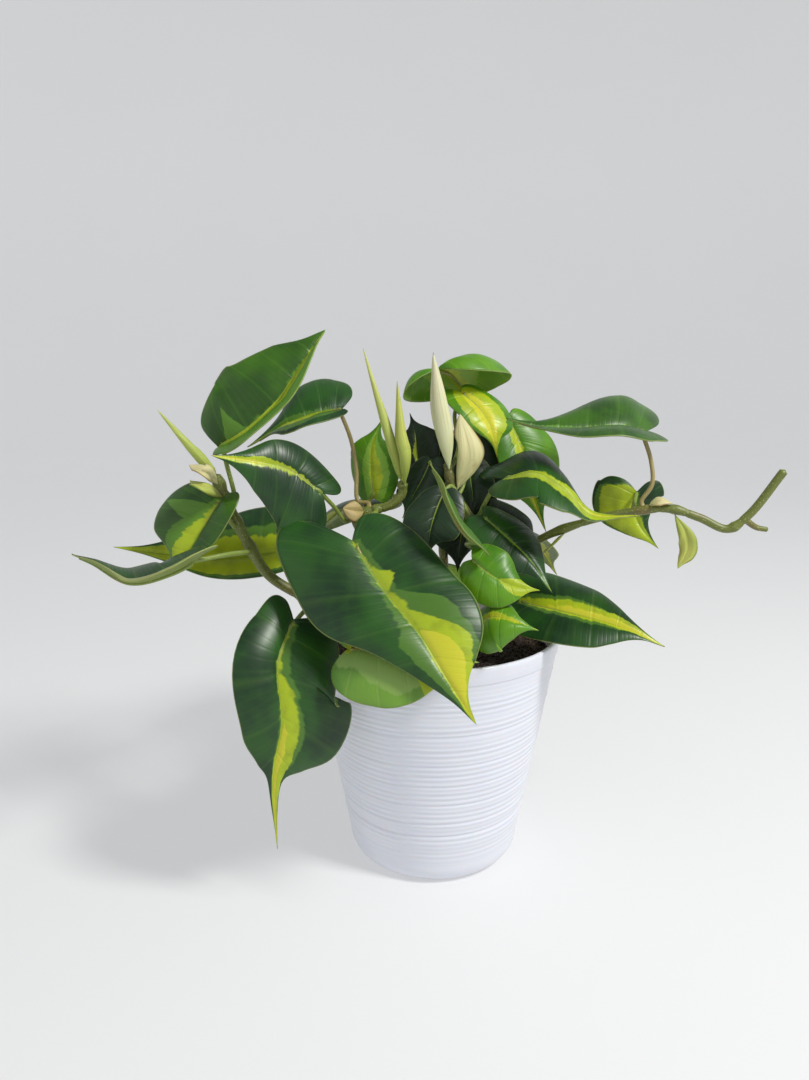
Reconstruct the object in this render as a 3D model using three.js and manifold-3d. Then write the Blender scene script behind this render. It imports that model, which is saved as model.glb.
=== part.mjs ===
// A heart-leaf philodendron in a ribbed white plastic pot.
// Millimetres, +Z up. The origin is the centre of the pot's underside; the plant's front faces -Y.
import * as THREE from 'three';
import { mergeVertices } from 'three/addons/utils/BufferGeometryUtils.js';
import Module from 'manifold-3d';

const wasm = await Module();
wasm.setup();

// ---------------------------------------------------------------- driving sizes

const RIM_RADIUS = 65;
const POT_HEIGHT = 122;
const FOOT_RADIUS = 37;
const WALL_FOOT_RADIUS = 45.2;
const CORNER_HEIGHT = 11;
const WALL = 2.2;
const RIM_BAND_HEIGHT = 9;
const RIM_BAND_STEP = 0.6;
const RIM_BAND_FLARE = 1;
const FOOT_RING_WIDTH = 4;
const FOOT_RING_HEIGHT = 3;
const NOTCH_WIDTH = 14;
const NOTCH_COUNT = 4;
const NOTCH_TURN = 9.5;
const NOTCH_HEIGHT = 2.1;
const NOTCH_REACH = 26;
const DRAIN_CIRCLE = 18.5;
const DRAIN_RADIUS = 4;
const SOIL_BELOW_RIM = 12;
const CLEARANCE = 0.3;
const LEAF_THICKNESS = 0.7;
const SHEATH_THICKNESS = 0.6;

// The plant was grown for a pot of this rim radius; a wider or narrower pot spreads it in proportion, while
// its stems, petioles and blades keep their own thickness.
const GROWN_RIM_RADIUS = 65;
const SPREAD = RIM_RADIUS / GROWN_RIM_RADIUS;

const POT_SEGMENTS = 40;
const DRAIN_SIDES = 16;
const MERGE_DISTANCE = 1e-4;
const POT_WHITE = { color: 0xe9edf2, roughness: 0.35, metalness: 0 };
const SOIL_BROWN = { color: 0x1d1613, roughness: 1, metalness: 0 };
const STEM_GREEN = { color: 0x6f8a35, roughness: 0.5, metalness: 0 };
const SHEATH_CREAM = { color: 0xe4e6b4, roughness: 0.6, metalness: 0 };
const LEAF_DARK = { color: 0x2c4a2a, roughness: 0.35, metalness: 0 };
const LEAF_BRIGHT = { color: 0x5b8f1e, roughness: 0.35, metalness: 0 };
const LEAF_LIME = { color: 0xa9b82a, roughness: 0.35, metalness: 0 };

const philodendron = new THREE.Group();
const plant = new THREE.Group();
plant.position.z = POT_HEIGHT;
philodendron.add(plant);

// ---------------------------------------------------------------- solids

function addMesh(parent, name, geometry, finish) {
  const mesh = new THREE.Mesh(geometry, new THREE.MeshStandardMaterial(finish));
  mesh.name = name;
  parent.add(mesh);
}

function toManifold(geometry) {
  const bare = geometry.clone();
  bare.deleteAttribute('normal');
  bare.deleteAttribute('uv');
  const merged = mergeVertices(bare, MERGE_DISTANCE);
  return new wasm.Manifold(new wasm.Mesh({
    numProp: 3,
    vertProperties: Float32Array.from(merged.attributes.position.array),
    triVerts: Uint32Array.from(merged.index.array),
  }));
}

function toGeometry(manifold) {
  const mesh = manifold.getMesh();
  const geometry = new THREE.BufferGeometry();
  geometry.setAttribute('position', new THREE.BufferAttribute(mesh.vertProperties, 3));
  geometry.setIndex(new THREE.BufferAttribute(mesh.triVerts, 1));
  return geometry;
}

// Triangles with two equal corners are left out, so rows of a grid may shrink to one point.
function solidFromTriangles(points, triangles) {
  const geometry = new THREE.BufferGeometry();
  geometry.setAttribute('position', new THREE.Float32BufferAttribute(points.flatMap((p) => p.toArray()), 3));
  geometry.setIndex(triangles.flat());
  const merged = mergeVertices(geometry, MERGE_DISTANCE);
  const index = merged.index.array;
  const kept = [];
  for (let i = 0; i < index.length; i += 3) {
    const [a, b, c] = [index[i], index[i + 1], index[i + 2]];
    if (a !== b && b !== c && c !== a) {
      kept.push(a, b, c);
    }
  }
  merged.setIndex(kept);
  return merged;
}

// ---------------------------------------------------------------- pot

const wallTop = POT_HEIGHT - RIM_BAND_HEIGHT;
const wallTopRadius = RIM_RADIUS - RIM_BAND_FLARE - RIM_BAND_STEP;
const innerFootRadius = WALL_FOOT_RADIUS - WALL;
const innerBend = CORNER_HEIGHT + WALL;
const floorRadius = innerFootRadius - CORNER_HEIGHT / 2;
const floorTop = FOOT_RING_HEIGHT + WALL;

// A foot ring, a rounded bottom corner, a straight flare, a plain band at the rim, then the inside.
function potProfile() {
  const outline = [new THREE.Vector2(0, FOOT_RING_HEIGHT)];
  outline.push(new THREE.Vector2(FOOT_RADIUS - FOOT_RING_WIDTH, FOOT_RING_HEIGHT));
  outline.push(new THREE.Vector2(FOOT_RADIUS - FOOT_RING_WIDTH, 0));
  outline.push(new THREE.Vector2(FOOT_RADIUS, 0));
  const cornerSteps = 4;
  for (let i = 1; i <= cornerSteps; i += 1) {
    const angle = (i / cornerSteps) * Math.PI / 2;
    outline.push(new THREE.Vector2(
      FOOT_RADIUS + (WALL_FOOT_RADIUS - FOOT_RADIUS) * Math.sin(angle),
      CORNER_HEIGHT * (1 - Math.cos(angle)),
    ));
  }
  outline.push(new THREE.Vector2(wallTopRadius, wallTop));
  outline.push(new THREE.Vector2(RIM_RADIUS - RIM_BAND_FLARE, wallTop + RIM_BAND_STEP));
  outline.push(new THREE.Vector2(RIM_RADIUS, POT_HEIGHT));
  outline.push(new THREE.Vector2(RIM_RADIUS - WALL, POT_HEIGHT));
  outline.push(new THREE.Vector2(innerFootRadius, innerBend));
  outline.push(new THREE.Vector2(floorRadius, floorTop));
  outline.push(new THREE.Vector2(0, floorTop));
  return outline;
}

function latheUpright(profile) {
  const geometry = new THREE.LatheGeometry(profile, POT_SEGMENTS);
  geometry.rotateX(Math.PI / 2);
  return geometry;
}

// Notches through the foot ring let water that leaves the drain holes run away.
function potGeometry() {
  let pot = toManifold(latheUpright(potProfile()));
  for (let i = 0; i < NOTCH_COUNT; i += 1) {
    const angle = THREE.MathUtils.degToRad(-90 - NOTCH_TURN + i * 360 / NOTCH_COUNT);
    const notch = new THREE.BoxGeometry(NOTCH_REACH, NOTCH_WIDTH, NOTCH_HEIGHT * 2);
    notch.translate(FOOT_RADIUS, 0, 0);
    notch.rotateZ(angle);
    pot = pot.subtract(toManifold(notch));
    const drain = new THREE.CylinderGeometry(DRAIN_RADIUS, DRAIN_RADIUS, WALL * 4, DRAIN_SIDES);
    drain.rotateX(Math.PI / 2);
    drain.translate(DRAIN_CIRCLE, 0, FOOT_RING_HEIGHT + WALL / 2);
    drain.rotateZ(angle);
    pot = pot.subtract(toManifold(drain));
  }
  return toGeometry(pot);
}

addMesh(philodendron, 'pot', potGeometry(), POT_WHITE);

// ---------------------------------------------------------------- soil

// The root ball fills the pot up to SOIL_BELOW_RIM and keeps CLEARANCE to its wall and floor.
function soilGeometry() {
  const top = POT_HEIGHT - SOIL_BELOW_RIM;
  const floor = floorTop + CLEARANCE;
  const slope = (RIM_RADIUS - WALL - innerFootRadius) / (POT_HEIGHT - innerBend);
  const wallGap = CLEARANCE * 2;
  return latheUpright([
    new THREE.Vector2(0, floor),
    new THREE.Vector2(floorRadius - wallGap, floor),
    new THREE.Vector2(innerFootRadius - wallGap, innerBend),
    new THREE.Vector2(innerFootRadius + slope * (top - innerBend) - wallGap, top),
    new THREE.Vector2(0, top),
  ]);
}

addMesh(philodendron, 'soil', soilGeometry(), SOIL_BROWN);

// ---------------------------------------------------------------- stems

// Points of the plant are [x, y, z] from the centre of the rim's plane.
const plantPoint = ([x, y, z]) => new THREE.Vector3(x * SPREAD, y * SPREAD, z);
const plantPoints = (points) => points.map(plantPoint);
const curveThrough = (vectors) => new THREE.CatmullRomCurve3(vectors, false, 'centripetal');

function tubeAlong(curve, radius, sides, steps) {
  const section = new THREE.Shape();
  for (let i = 0; i < sides; i += 1) {
    const angle = (i / sides) * 2 * Math.PI;
    const point = [radius * Math.cos(angle), radius * Math.sin(angle)];
    if (i === 0) {
      section.moveTo(...point);
    } else {
      section.lineTo(...point);
    }
  }
  return new THREE.ExtrudeGeometry(section, { steps, bevelEnabled: false, extrudePath: curve });
}

// A stem stands on the soil at its foot [x, y] and runs through its points to its growing end. A stub is
// what is left of a shoot that broke off it.
const STEM_SIDES = 8;
const SOIL_LEVEL = -SOIL_BELOW_RIM;
const STRAIGHT_FOOT = 5;
const STUB_SHARE = 0.7;

function growStem(name, foot, points, radius, stub = null) {
  const upright = [
    [foot[0], foot[1], SOIL_LEVEL + CLEARANCE],
    [foot[0], foot[1], SOIL_LEVEL + CLEARANCE + STRAIGHT_FOOT],
  ];
  const curve = curveThrough(plantPoints([...upright, ...points]));
  const steps = 3 * (points.length + 1);
  let stem = toManifold(tubeAlong(curve, radius, STEM_SIDES, steps));
  if (stub) {
    const shootCurve = curveThrough(plantPoints(stub));
    const shoot = tubeAlong(shootCurve, radius * STUB_SHARE, STEM_SIDES, 2 * stub.length);
    stem = stem.add(toManifold(shoot));
  }
  addMesh(plant, name, toGeometry(stem), STEM_GREEN);
  return { curve, radius };
}

const leftVine = growStem('vine_left', [-30, -12], [
  [-46, -20, 8], [-64, -25, 22], [-80, -28, 34], [-90, -30, 52], [-97, -33, 70], [-101, -36, 83],
], 2.7);
const rightVine = growStem('vine_right', [30, 14], [
  [37, 12, 26], [52, 4, 44], [74, -5, 56], [93, -11, 62], [113, -16, 65],
  [127, -18, 61], [140, -20, 56], [149, -21, 63], [162, -24, 84],
], 2.2, [[147, -21, 61], [153, -21, 57], [158, -21, 56]]);
const centreStem = growStem('stem_centre', [-20, -4], [
  [-28, -8, 30], [-37, -10, 52], [-39, -12, 60], [-30, -12, 63], [-21, -11, 66],
  [-16, -10, 71], [-16, -10, 77],
], 2.4);
const tallStem = growStem('stem_tall', [12, -6], [
  [20, -8, 26], [22, -10, 48], [16, -10, 62], [9, -11, 72], [6, -12, 86],
], 2.2);
const backStem = growStem('stem_back', [4, 30], [
  [6, 36, 20], [2, 42, 44], [-4, 46, 62],
], 2.2);

// ---------------------------------------------------------------- blades

// A blade is a thin skin between its midrib and its outline. Each row of an outline is where one side vein
// ends, [sideways in half widths, along in midrib lengths], and where it leaves the midrib. A blade is
// widest at the row whose sideways value is 1.
const outlineThrough = (rows) => curveThrough(rows.map((row) => new THREE.Vector3(...row)));
const HEART = {
  edge: outlineThrough([
    [0, 0, 0], [0.34, -0.13, 0.01], [0.72, -0.11, 0.05], [0.95, 0.05, 0.15], [1, 0.3, 0.3],
    [0.88, 0.47, 0.44], [0.57, 0.62, 0.58], [0.27, 0.75, 0.72], [0.09, 0.87, 0.86], [0, 1, 1],
  ]),
  widest: 0.3,
};
const LONG_TIPPED_HEART = {
  edge: outlineThrough([
    [0, 0, 0], [0.34, -0.08, 0.01], [0.72, -0.07, 0.05], [0.94, 0.1, 0.17], [1, 0.34, 0.34],
    [0.85, 0.53, 0.48], [0.42, 0.66, 0.6], [0.13, 0.74, 0.7], [0.04, 0.87, 0.86], [0, 1, 1],
  ]),
  widest: 0.34,
};
const OVATE = {
  edge: outlineThrough([
    [0, 0, 0], [0.42, -0.04, 0.02], [0.72, 0.08, 0.08], [0.9, 0.24, 0.21], [1, 0.47, 0.42],
    [0.86, 0.61, 0.56], [0.55, 0.75, 0.7], [0.22, 0.875, 0.86], [0, 1, 1],
  ]),
  widest: 0.47,
};
const LANCE = {
  edge: outlineThrough([
    [0, 0, 0], [0.25, 0.05, 0.04], [0.75, 0.17, 0.15], [1, 0.35, 0.35],
    [0.8, 0.6, 0.6], [0.4, 0.82, 0.82], [0, 1, 1],
  ]),
  widest: 0.35,
};
const VEIN_ROWS = 8;
const CROSS_STEPS = 2;
const ARCH = 0.1;

// The place and the directions at a share of the midrib; before the notch it runs on straight.
function midribFrame(blade, share) {
  const inside = THREE.MathUtils.clamp(share, 0, 1);
  const along = blade.curve.getTangent(inside);
  const origin = blade.curve.getPoint(inside).addScaledVector(along, (share - inside) * blade.length);
  const right = blade.across.clone().addScaledVector(along, -blade.across.dot(along)).normalize();
  const up = new THREE.Vector3().crossVectors(right, along);
  return { origin, along, right, up };
}

// A blade is set by its midrib and by the two points where its right and left edges stand furthest out,
// seen from above with the tip ahead.
function makeBlade(outline, spine, { right, left, arch = ARCH }) {
  const curve = curveThrough(spine);
  const edges = { 1: plantPoint(right), [-1]: plantPoint(left) };
  const across = edges[1].clone().sub(edges[-1]);
  const blade = { outline, curve, length: curve.getLength(), across, arch, halves: {} };
  const frame = midribFrame(blade, outline.widest);
  for (const side of [1, -1]) {
    const reach = edges[side].clone().sub(frame.origin);
    const half = { out: reach.dot(frame.right), rise: reach.dot(frame.up), ahead: reach.dot(frame.along) };
    half.span = Math.hypot(half.out, half.rise);
    blade.halves[side] = half;
  }
  return blade;
}

function halfNormal(blade, frame, side) {
  const half = blade.halves[side];
  return frame.up.clone().multiplyScalar(side * half.out / half.span)
    .addScaledVector(frame.right, -side * half.rise / half.span);
}

function bladePoint(blade, side, row, crossing) {
  const [sideways, alongEdge, alongRib] = blade.outline.edge.getPoint(row).toArray();
  const frame = midribFrame(blade, alongRib + (alongEdge - alongRib) * crossing);
  const half = blade.halves[side];
  const reach = sideways * crossing;
  const crown = blade.arch * half.span * sideways * 4 * crossing * (1 - crossing);
  const onMidrib = crossing === 0 || sideways < 1e-6;
  const normal = halfNormal(blade, frame, side);
  if (onMidrib) {
    normal.add(halfNormal(blade, frame, -side)).normalize();
  }
  const point = frame.origin
    .addScaledVector(frame.right, half.out * reach)
    .addScaledVector(frame.up, half.rise * reach)
    .addScaledVector(frame.along, half.ahead * reach)
    .addScaledVector(normal, crown);
  return { point, normal };
}

function bladeGeometry(blade, thickness) {
  const rows = VEIN_ROWS;
  const columns = 2 * CROSS_STEPS + 1;
  const points = [];
  const triangles = [];
  for (const skin of [0.5, -0.5]) {
    for (let row = 0; row <= rows; row += 1) {
      for (let column = 0; column < columns; column += 1) {
        const offset = column - CROSS_STEPS;
        const side = offset < 0 ? -1 : 1;
        const { point, normal } = bladePoint(blade, side, row / rows, Math.abs(offset) / CROSS_STEPS);
        points.push(point.addScaledVector(normal, skin * thickness));
      }
    }
  }
  const skinSize = (rows + 1) * columns;
  const at = (row, column, under) => row * columns + column + (under ? skinSize : 0);
  for (let row = 0; row < rows; row += 1) {
    for (let column = 0; column < columns - 1; column += 1) {
      const [a, b] = [at(row, column, false), at(row, column + 1, false)];
      const [c, d] = [at(row + 1, column + 1, false), at(row + 1, column, false)];
      triangles.push([a, c, d], [a, b, c]);
      triangles.push([a + skinSize, d + skinSize, c + skinSize], [a + skinSize, c + skinSize, b + skinSize]);
    }
    for (const column of [0, columns - 1]) {
      const [a, b] = [at(row, column, false), at(row + 1, column, false)];
      const [c, d] = [at(row + 1, column, true), at(row, column, true)];
      triangles.push(...(column === 0 ? [[a, b, c], [a, c, d]] : [[a, c, b], [a, d, c]]));
    }
  }
  return solidFromTriangles(points, triangles);
}

// ---------------------------------------------------------------- leaves

const PETIOLE_SIDES = 6;
const PETIOLE_RADIUS = 1.2;
const PETIOLE_ROOT = 2.5;

// Where a petiole or a sheath leaves a stem: a gap clear of the bark, and square to it.
function seatOn(stem, share, towards, gap) {
  const centre = stem.curve.getPoint(share);
  const along = stem.curve.getTangent(share);
  const outward = towards.clone().sub(centre);
  outward.addScaledVector(along, -outward.dot(along)).normalize();
  const seat = centre.clone().addScaledVector(outward, stem.radius + gap);
  return { seat, outward };
}

// One leaf is one grown piece: the petiole from its seat on the stem, and the blade that it carries.
function growLeaf(name, [stem, share], petiole, spine, shape, finish) {
  const blade = makeBlade(shape.outline ?? HEART, plantPoints(spine), shape);
  const end = midribFrame(blade, 0.04).origin;
  const bends = plantPoints(petiole);
  const { seat, outward } = seatOn(stem, share, bends[0] ?? end, CLEARANCE);
  const root = seat.clone().addScaledVector(outward, PETIOLE_ROOT);
  const path = curveThrough([seat, root, ...bends, end]);
  const steps = 4 + 2 * bends.length;
  const stalk = toManifold(tubeAlong(path, PETIOLE_RADIUS, PETIOLE_SIDES, steps));
  const skin = toManifold(bladeGeometry(blade, LEAF_THICKNESS));
  addMesh(plant, name, toGeometry(skin.add(stalk)), finish);
}

growLeaf('leaf_left_top', [leftVine, 0.86], [[-98, -28, 88]],
  [[-101, -30, 96], [-87, -34, 103], [-72, -32, 116], [-60, -26, 135], [-51, -20, 149]],
  { right: [-66, -44, 116], left: [-98, -22, 132], outline: OVATE }, LEAF_DARK);
growLeaf('leaf_left_back', [centreStem, 0.6], [[-38, -8, 67], [-39, -4, 82], [-42, 0, 97]],
  [[-46, 0, 112], [-58, -4, 110], [-73, -8, 105], [-92, -10, 94]],
  { right: [-63, 14, 125], left: [-66, -18, 103] }, LEAF_DARK);
growLeaf('leaf_left_glossy', [centreStem, 0.5], [[-43, -20, 59], [-48, -28, 68]],
  [[-52, -35, 75], [-66, -41, 87], [-81, -50, 92], [-97, -57, 95]],
  { right: [-62, -31, 96], left: [-72, -46, 59] }, LEAF_DARK);
growLeaf('leaf_left_mid', [leftVine, 0.78], [],
  [[-98, -42, 73], [-105, -46, 62], [-113, -50, 49], [-123, -50, 38]],
  { right: [-129, -36, 67], left: [-94, -54, 61] }, LEAF_DARK);
growLeaf('leaf_left_folded', [leftVine, 0.68], [[-90, -56, 51]],
  [[-102, -70, 52], [-112, -74, 47], [-131, -72, 42], [-149, -66, 49], [-162, -58, 51]],
  { right: [-126, -58, 47], left: [-115, -86, 49] }, LEAF_DARK);
growLeaf('leaf_left_lime', [leftVine, 0.42], [],
  [[-68, -6, 43], [-86, -10, 40], [-109, -16, 39], [-134, -22, 43], [-156, -26, 47]],
  { right: [-93, 8, 60], left: [-93, -20, 30] }, LEAF_LIME);
growLeaf('leaf_front_large', [centreStem, 0.64], [[-33, -36, 61]],
  [[-37, -50, 56], [-21, -64, 36], [-6, -76, 21], [6, -86, 4], [18, -90, -14]],
  { right: [-55, -70, 26], left: [14, -62, 38] }, LEAF_DARK);
growLeaf('leaf_left_hanging', [leftVine, 0.22], [[-57, -42, 22]],
  [[-64, -54, 20], [-69, -68, 4], [-67, -74, -20], [-72, -74, -50], [-73, -66, -89]],
  { right: [-86, -80, -9], left: [-38, -59, -19], outline: LONG_TIPPED_HEART }, LEAF_DARK);
growLeaf('leaf_front_low', [centreStem, 0.12], [[-32, -44, 16]],
  [[-38, -68, 11], [-25, -71, 12], [-10, -73, 11], [8, -71, 9], [20, -67, 5]],
  { right: [-21, -83, -10], left: [-22, -46, 21] }, LEAF_BRIGHT);
growLeaf('leaf_centre_upright', [centreStem, 0.57], [],
  [[-31, 1, 67], [-32, 2, 79], [-32, 3, 93], [-26, 8, 108]],
  { right: [-18, 4, 87], left: [-43, 8, 86] }, LEAF_LIME);
growLeaf('leaf_centre_small', [backStem, 0.9], [[-8, 28, 70]],
  [[-7, 8, 78], [-9, 10, 88], [-10, 12, 98], [-13, 16, 109]],
  { right: [2, 8, 97], left: [-19, 14, 92] }, LEAF_DARK);
growLeaf('leaf_centre_back', [backStem, 0.75], [[4, 30, 66]],
  [[14, 25, 94], [11, 24, 76], [8, 21, 55], [6, 16, 31]],
  { right: [-3, 23, 69], left: [38, 25, 74] }, LEAF_DARK);
growLeaf('leaf_centre_shaded', [tallStem, 0.74], [],
  [[-2, -4, 87], [-6, -4, 78], [-11, -5, 69], [-16, -6, 58]],
  { right: [-18, 0, 73], left: [3, -6, 72] }, LEAF_DARK);
growLeaf('leaf_centre_low', [tallStem, 0.63], [[8, -18, 76]],
  [[5, -21, 75], [1, -25, 66], [-2, -29, 56], [-3, -31, 43]],
  { right: [-15, -28, 60], left: [12, -31, 56] }, LEAF_DARK);
growLeaf('leaf_centre_dark', [tallStem, 0.8], [],
  [[17, 1, 85], [18, -2, 76], [19, -4, 67], [17, -7, 58]],
  { right: [10, 2, 74], left: [30, 0, 74] }, LEAF_DARK);
growLeaf('leaf_edge_on', [tallStem, 0.47], [[15, -38, 52]],
  [[20, -50, 54], [12, -54, 63], [6, -54, 74], [2, -52, 84], [-2, -48, 91]],
  { right: [8, -44, 71], left: [10, -66, 69] }, LEAF_DARK);
growLeaf('leaf_top_umbrella', [tallStem, 1], [[5, -5, 102], [3, -3, 119]],
  [[1, 0, 131], [7, 14, 129], [15, 26, 121], [21, 34, 111]],
  { right: [38, 12, 128], left: [-12, 10, 115], arch: 0.3 }, LEAF_BRIGHT);
growLeaf('leaf_centre_yellow', [tallStem, 0.97], [[12, 3, 93], [10, 9, 109]],
  [[13, 6, 120], [23, 1, 111], [28, -4, 101], [31, -4, 88]],
  { right: [14, -6, 106], left: [37, 8, 110] }, LEAF_LIME);
growLeaf('leaf_back_hanging', [rightVine, 0.18], [[35, 30, 94]],
  [[38, 26, 106], [45, 22, 91], [50, 16, 70], [58, 10, 48]],
  { right: [34, 14, 80], left: [66, 28, 83] }, LEAF_BRIGHT);
growLeaf('leaf_centre_under', [tallStem, 0.45], [[21, 4, 52]],
  [[16, 9, 64], [15, 7, 54], [13, 4, 42], [12, 2, 28]],
  { right: [-4, 8, 50], left: [34, 8, 54] }, LEAF_DARK);
growLeaf('leaf_right_top', [rightVine, 0.54], [[105, -12, 76], [105, -8, 87]],
  [[102, -6, 101], [88, -12, 104], [69, -14, 103], [50, -14, 104], [34, -12, 108]],
  { right: [89, 12, 117], left: [80, -34, 102] }, LEAF_DARK);
growLeaf('leaf_right_wavy', [tallStem, 0.62], [[24, -14, 66], [28, -17, 74]],
  [[33, -20, 80], [47, -26, 84], [60, -32, 77], [72, -36, 66], [93, -40, 66]],
  { right: [47, -48, 74], left: [50, -6, 90] }, LEAF_DARK);
growLeaf('leaf_right_node', [rightVine, 0.52], [],
  [[102, 4, 70], [101, 4, 63], [104, 2, 53], [113, -2, 42]],
  { right: [81, 10, 66], left: [115, 6, 68] }, LEAF_LIME);
growLeaf('leaf_right_dark', [tallStem, 0.52], [],
  [[23, -26, 63], [33, -32, 55], [45, -38, 44], [54, -46, 31]],
  { right: [24, -38, 43], left: [46, -22, 55] }, LEAF_DARK);
growLeaf('leaf_right_shaded', [tallStem, 0.56], [],
  [[28, -8, 63], [36, -10, 58], [45, -14, 51], [52, -16, 42]],
  { right: [34, -16, 50], left: [43, 0, 61] }, LEAF_DARK);
growLeaf('leaf_right_curled', [tallStem, 0.38], [[16, -34, 39]],
  [[17, -48, 47], [24, -53, 42], [35, -56, 37], [47, -56, 35]],
  { right: [21, -58, 29], left: [33, -46, 49] }, LEAF_BRIGHT);
growLeaf('leaf_rim_rolled', [tallStem, 0.2], [[16, -40, 15]],
  [[18, -54, 18], [26, -60, 24], [36, -64, 23], [46, -64, 19]],
  { right: [30, -66, 10], left: [32, -46, 26] }, LEAF_BRIGHT);
growLeaf('leaf_right_low', [rightVine, 0.12], [[38, -6, 16]],
  [[42, -16, 18], [59, -26, 17], [79, -34, 14], [93, -40, 11], [107, -44, 5]],
  { right: [57, -42, 5], left: [65, -6, 28] }, LEAF_DARK);

// The far side of the plant.
growLeaf('leaf_back_left', [backStem, 0.8], [[-16, 50, 60]],
  [[-30, 56, 58], [-48, 66, 54], [-66, 76, 40], [-80, 84, 22]],
  { right: [-40, 84, 44], left: [-62, 48, 50] }, LEAF_DARK);
growLeaf('leaf_back_right', [backStem, 0.6], [[16, 48, 40]],
  [[30, 54, 42], [48, 64, 38], [64, 74, 24], [76, 84, 6]],
  { right: [66, 46, 34], left: [38, 84, 26] }, LEAF_DARK);
growLeaf('leaf_back_low', [backStem, 0.3], [[4, 52, 14]],
  [[2, 70, 16], [0, 82, 8], [-2, 87, -12], [-4, 84, -34]],
  { right: [28, 78, -2], left: [-30, 78, 0] }, LEAF_BRIGHT);
growLeaf('leaf_back_top', [backStem, 0.97], [],
  [[-6, 54, 74], [0, 66, 82], [8, 80, 80], [14, 90, 70]],
  { right: [26, 60, 76], left: [-18, 84, 76] }, LEAF_DARK);

// ---------------------------------------------------------------- sheaths and new growth

// A sheath is the papery cover that a leaf grew out of; it stays seated beside its node.
function growSheath(name, [stem, share], points, shape) {
  const bends = plantPoints(points);
  const { seat } = seatOn(stem, share, bends[0], CLEARANCE + SHEATH_THICKNESS);
  const blade = makeBlade(LANCE, [seat, ...bends], shape);
  addMesh(plant, name, bladeGeometry(blade, SHEATH_THICKNESS), SHEATH_CREAM);
}

// A new leaf is still rolled into a spike, which stands on the growing end of its stem.
const SPIKE_SIDES = 8;
const SPIKE_GIRTH = [
  [0, 0], [0.4, 0.02], [0.8, 0.08], [1, 0.25], [0.85, 0.45], [0.5, 0.7], [0.2, 0.92], [0, 1],
];

function growSpike(name, stem, tip, radius) {
  const foot = stem.curve.getPoint(1).addScaledVector(stem.curve.getTangent(1), CLEARANCE);
  const reach = plantPoint(tip).sub(foot);
  const height = reach.length();
  const profile = SPIKE_GIRTH.map(([share, level]) => new THREE.Vector2(radius * share, height * level));
  const geometry = new THREE.LatheGeometry(profile, SPIKE_SIDES);
  const turn = new THREE.Quaternion().setFromUnitVectors(new THREE.Vector3(0, 1, 0), reach.normalize());
  geometry.applyQuaternion(turn);
  geometry.translate(...foot.toArray());
  addMesh(plant, name, geometry, SHEATH_CREAM);
}

growSpike('new_leaf_left', leftVine, [-123, -46, 114], 2.6);
growSpike('new_leaf_centre', centreStem, [-34, -14, 141], 2.8);
growSheath('sheath_centre_white', [centreStem, 0.96],
  [[-14, -18, 90], [-16, -17, 103], [-18, -15, 126]],
  { right: [-12, -14, 95], left: [-18, -14, 95] });
growSheath('sheath_tall_front', [tallStem, 0.97],
  [[5, -17, 98], [2, -17, 117], [-1, -14, 139]],
  { right: [8, -12, 107], left: [-1, -12, 107] });
growSheath('sheath_tall_papery', [tallStem, 0.84],
  [[16, -14, 90], [12, -10, 110]],
  { right: [24, -10, 91], left: [11, -12, 96] });
growSheath('sheath_tall_green', [tallStem, 0.98],
  [[6, 7, 98], [3, 8, 110]],
  { right: [8, 10, 99], left: [3, 9, 99] });
growSheath('sheath_left_cream', [leftVine, 0.97],
  [[-101, -52, 87], [-109, -50, 90]],
  { right: [-101, -48, 90], left: [-101, -55, 85] });
growSheath('sheath_left_lime', [leftVine, 0.9],
  [[-101, -54, 81], [-109, -50, 83]],
  { right: [-102, -50, 82], left: [-101, -58, 79] });
growSheath('sheath_centre_tan', [centreStem, 0.57],
  [[-38, -20, 64], [-44, -23, 66]],
  { right: [-39, -19, 69], left: [-39, -22, 59] });
growSheath('sheath_right_cream', [rightVine, 0.555],
  [[108, -17, 69], [114, -18, 68]],
  { right: [107, -20, 67], left: [107, -14, 70] });
growSheath('sheath_right_hanging', [rightVine, 0.62],
  [[120, -20, 55], [122, -20, 46], [118, -19, 36]],
  { right: [118, -18, 48], left: [126, -21, 48] });
growSheath('sheath_right_base', [rightVine, 0.36],
  [[60, -3, 44], [53, -3, 38]],
  { right: [61, 1, 44], left: [61, -6, 46] });

export default philodendron;
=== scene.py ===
import math

import bmesh
import bpy
import numpy as np
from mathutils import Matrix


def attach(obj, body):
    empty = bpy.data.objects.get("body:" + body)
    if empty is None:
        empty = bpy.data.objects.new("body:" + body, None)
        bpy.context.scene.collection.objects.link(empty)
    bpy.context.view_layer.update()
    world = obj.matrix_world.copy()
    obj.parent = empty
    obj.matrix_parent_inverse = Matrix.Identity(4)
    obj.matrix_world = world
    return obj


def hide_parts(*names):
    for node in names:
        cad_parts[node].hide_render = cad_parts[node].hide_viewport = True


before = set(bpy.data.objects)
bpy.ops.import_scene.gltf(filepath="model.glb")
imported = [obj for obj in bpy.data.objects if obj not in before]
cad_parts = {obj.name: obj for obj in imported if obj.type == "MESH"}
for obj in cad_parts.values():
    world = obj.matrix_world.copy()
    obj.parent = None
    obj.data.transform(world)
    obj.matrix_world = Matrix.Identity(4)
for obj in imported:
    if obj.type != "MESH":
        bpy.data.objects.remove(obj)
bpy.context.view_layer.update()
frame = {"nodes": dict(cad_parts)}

# ---------------------------------------------------------------- the pot
# A tapered pot moulded in thin white plastic, with a plain band at the rim, fine uneven ribs all round the
# wall, a foot ring with four notches, and four drain holes in the floor. It carries everything else.

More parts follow.
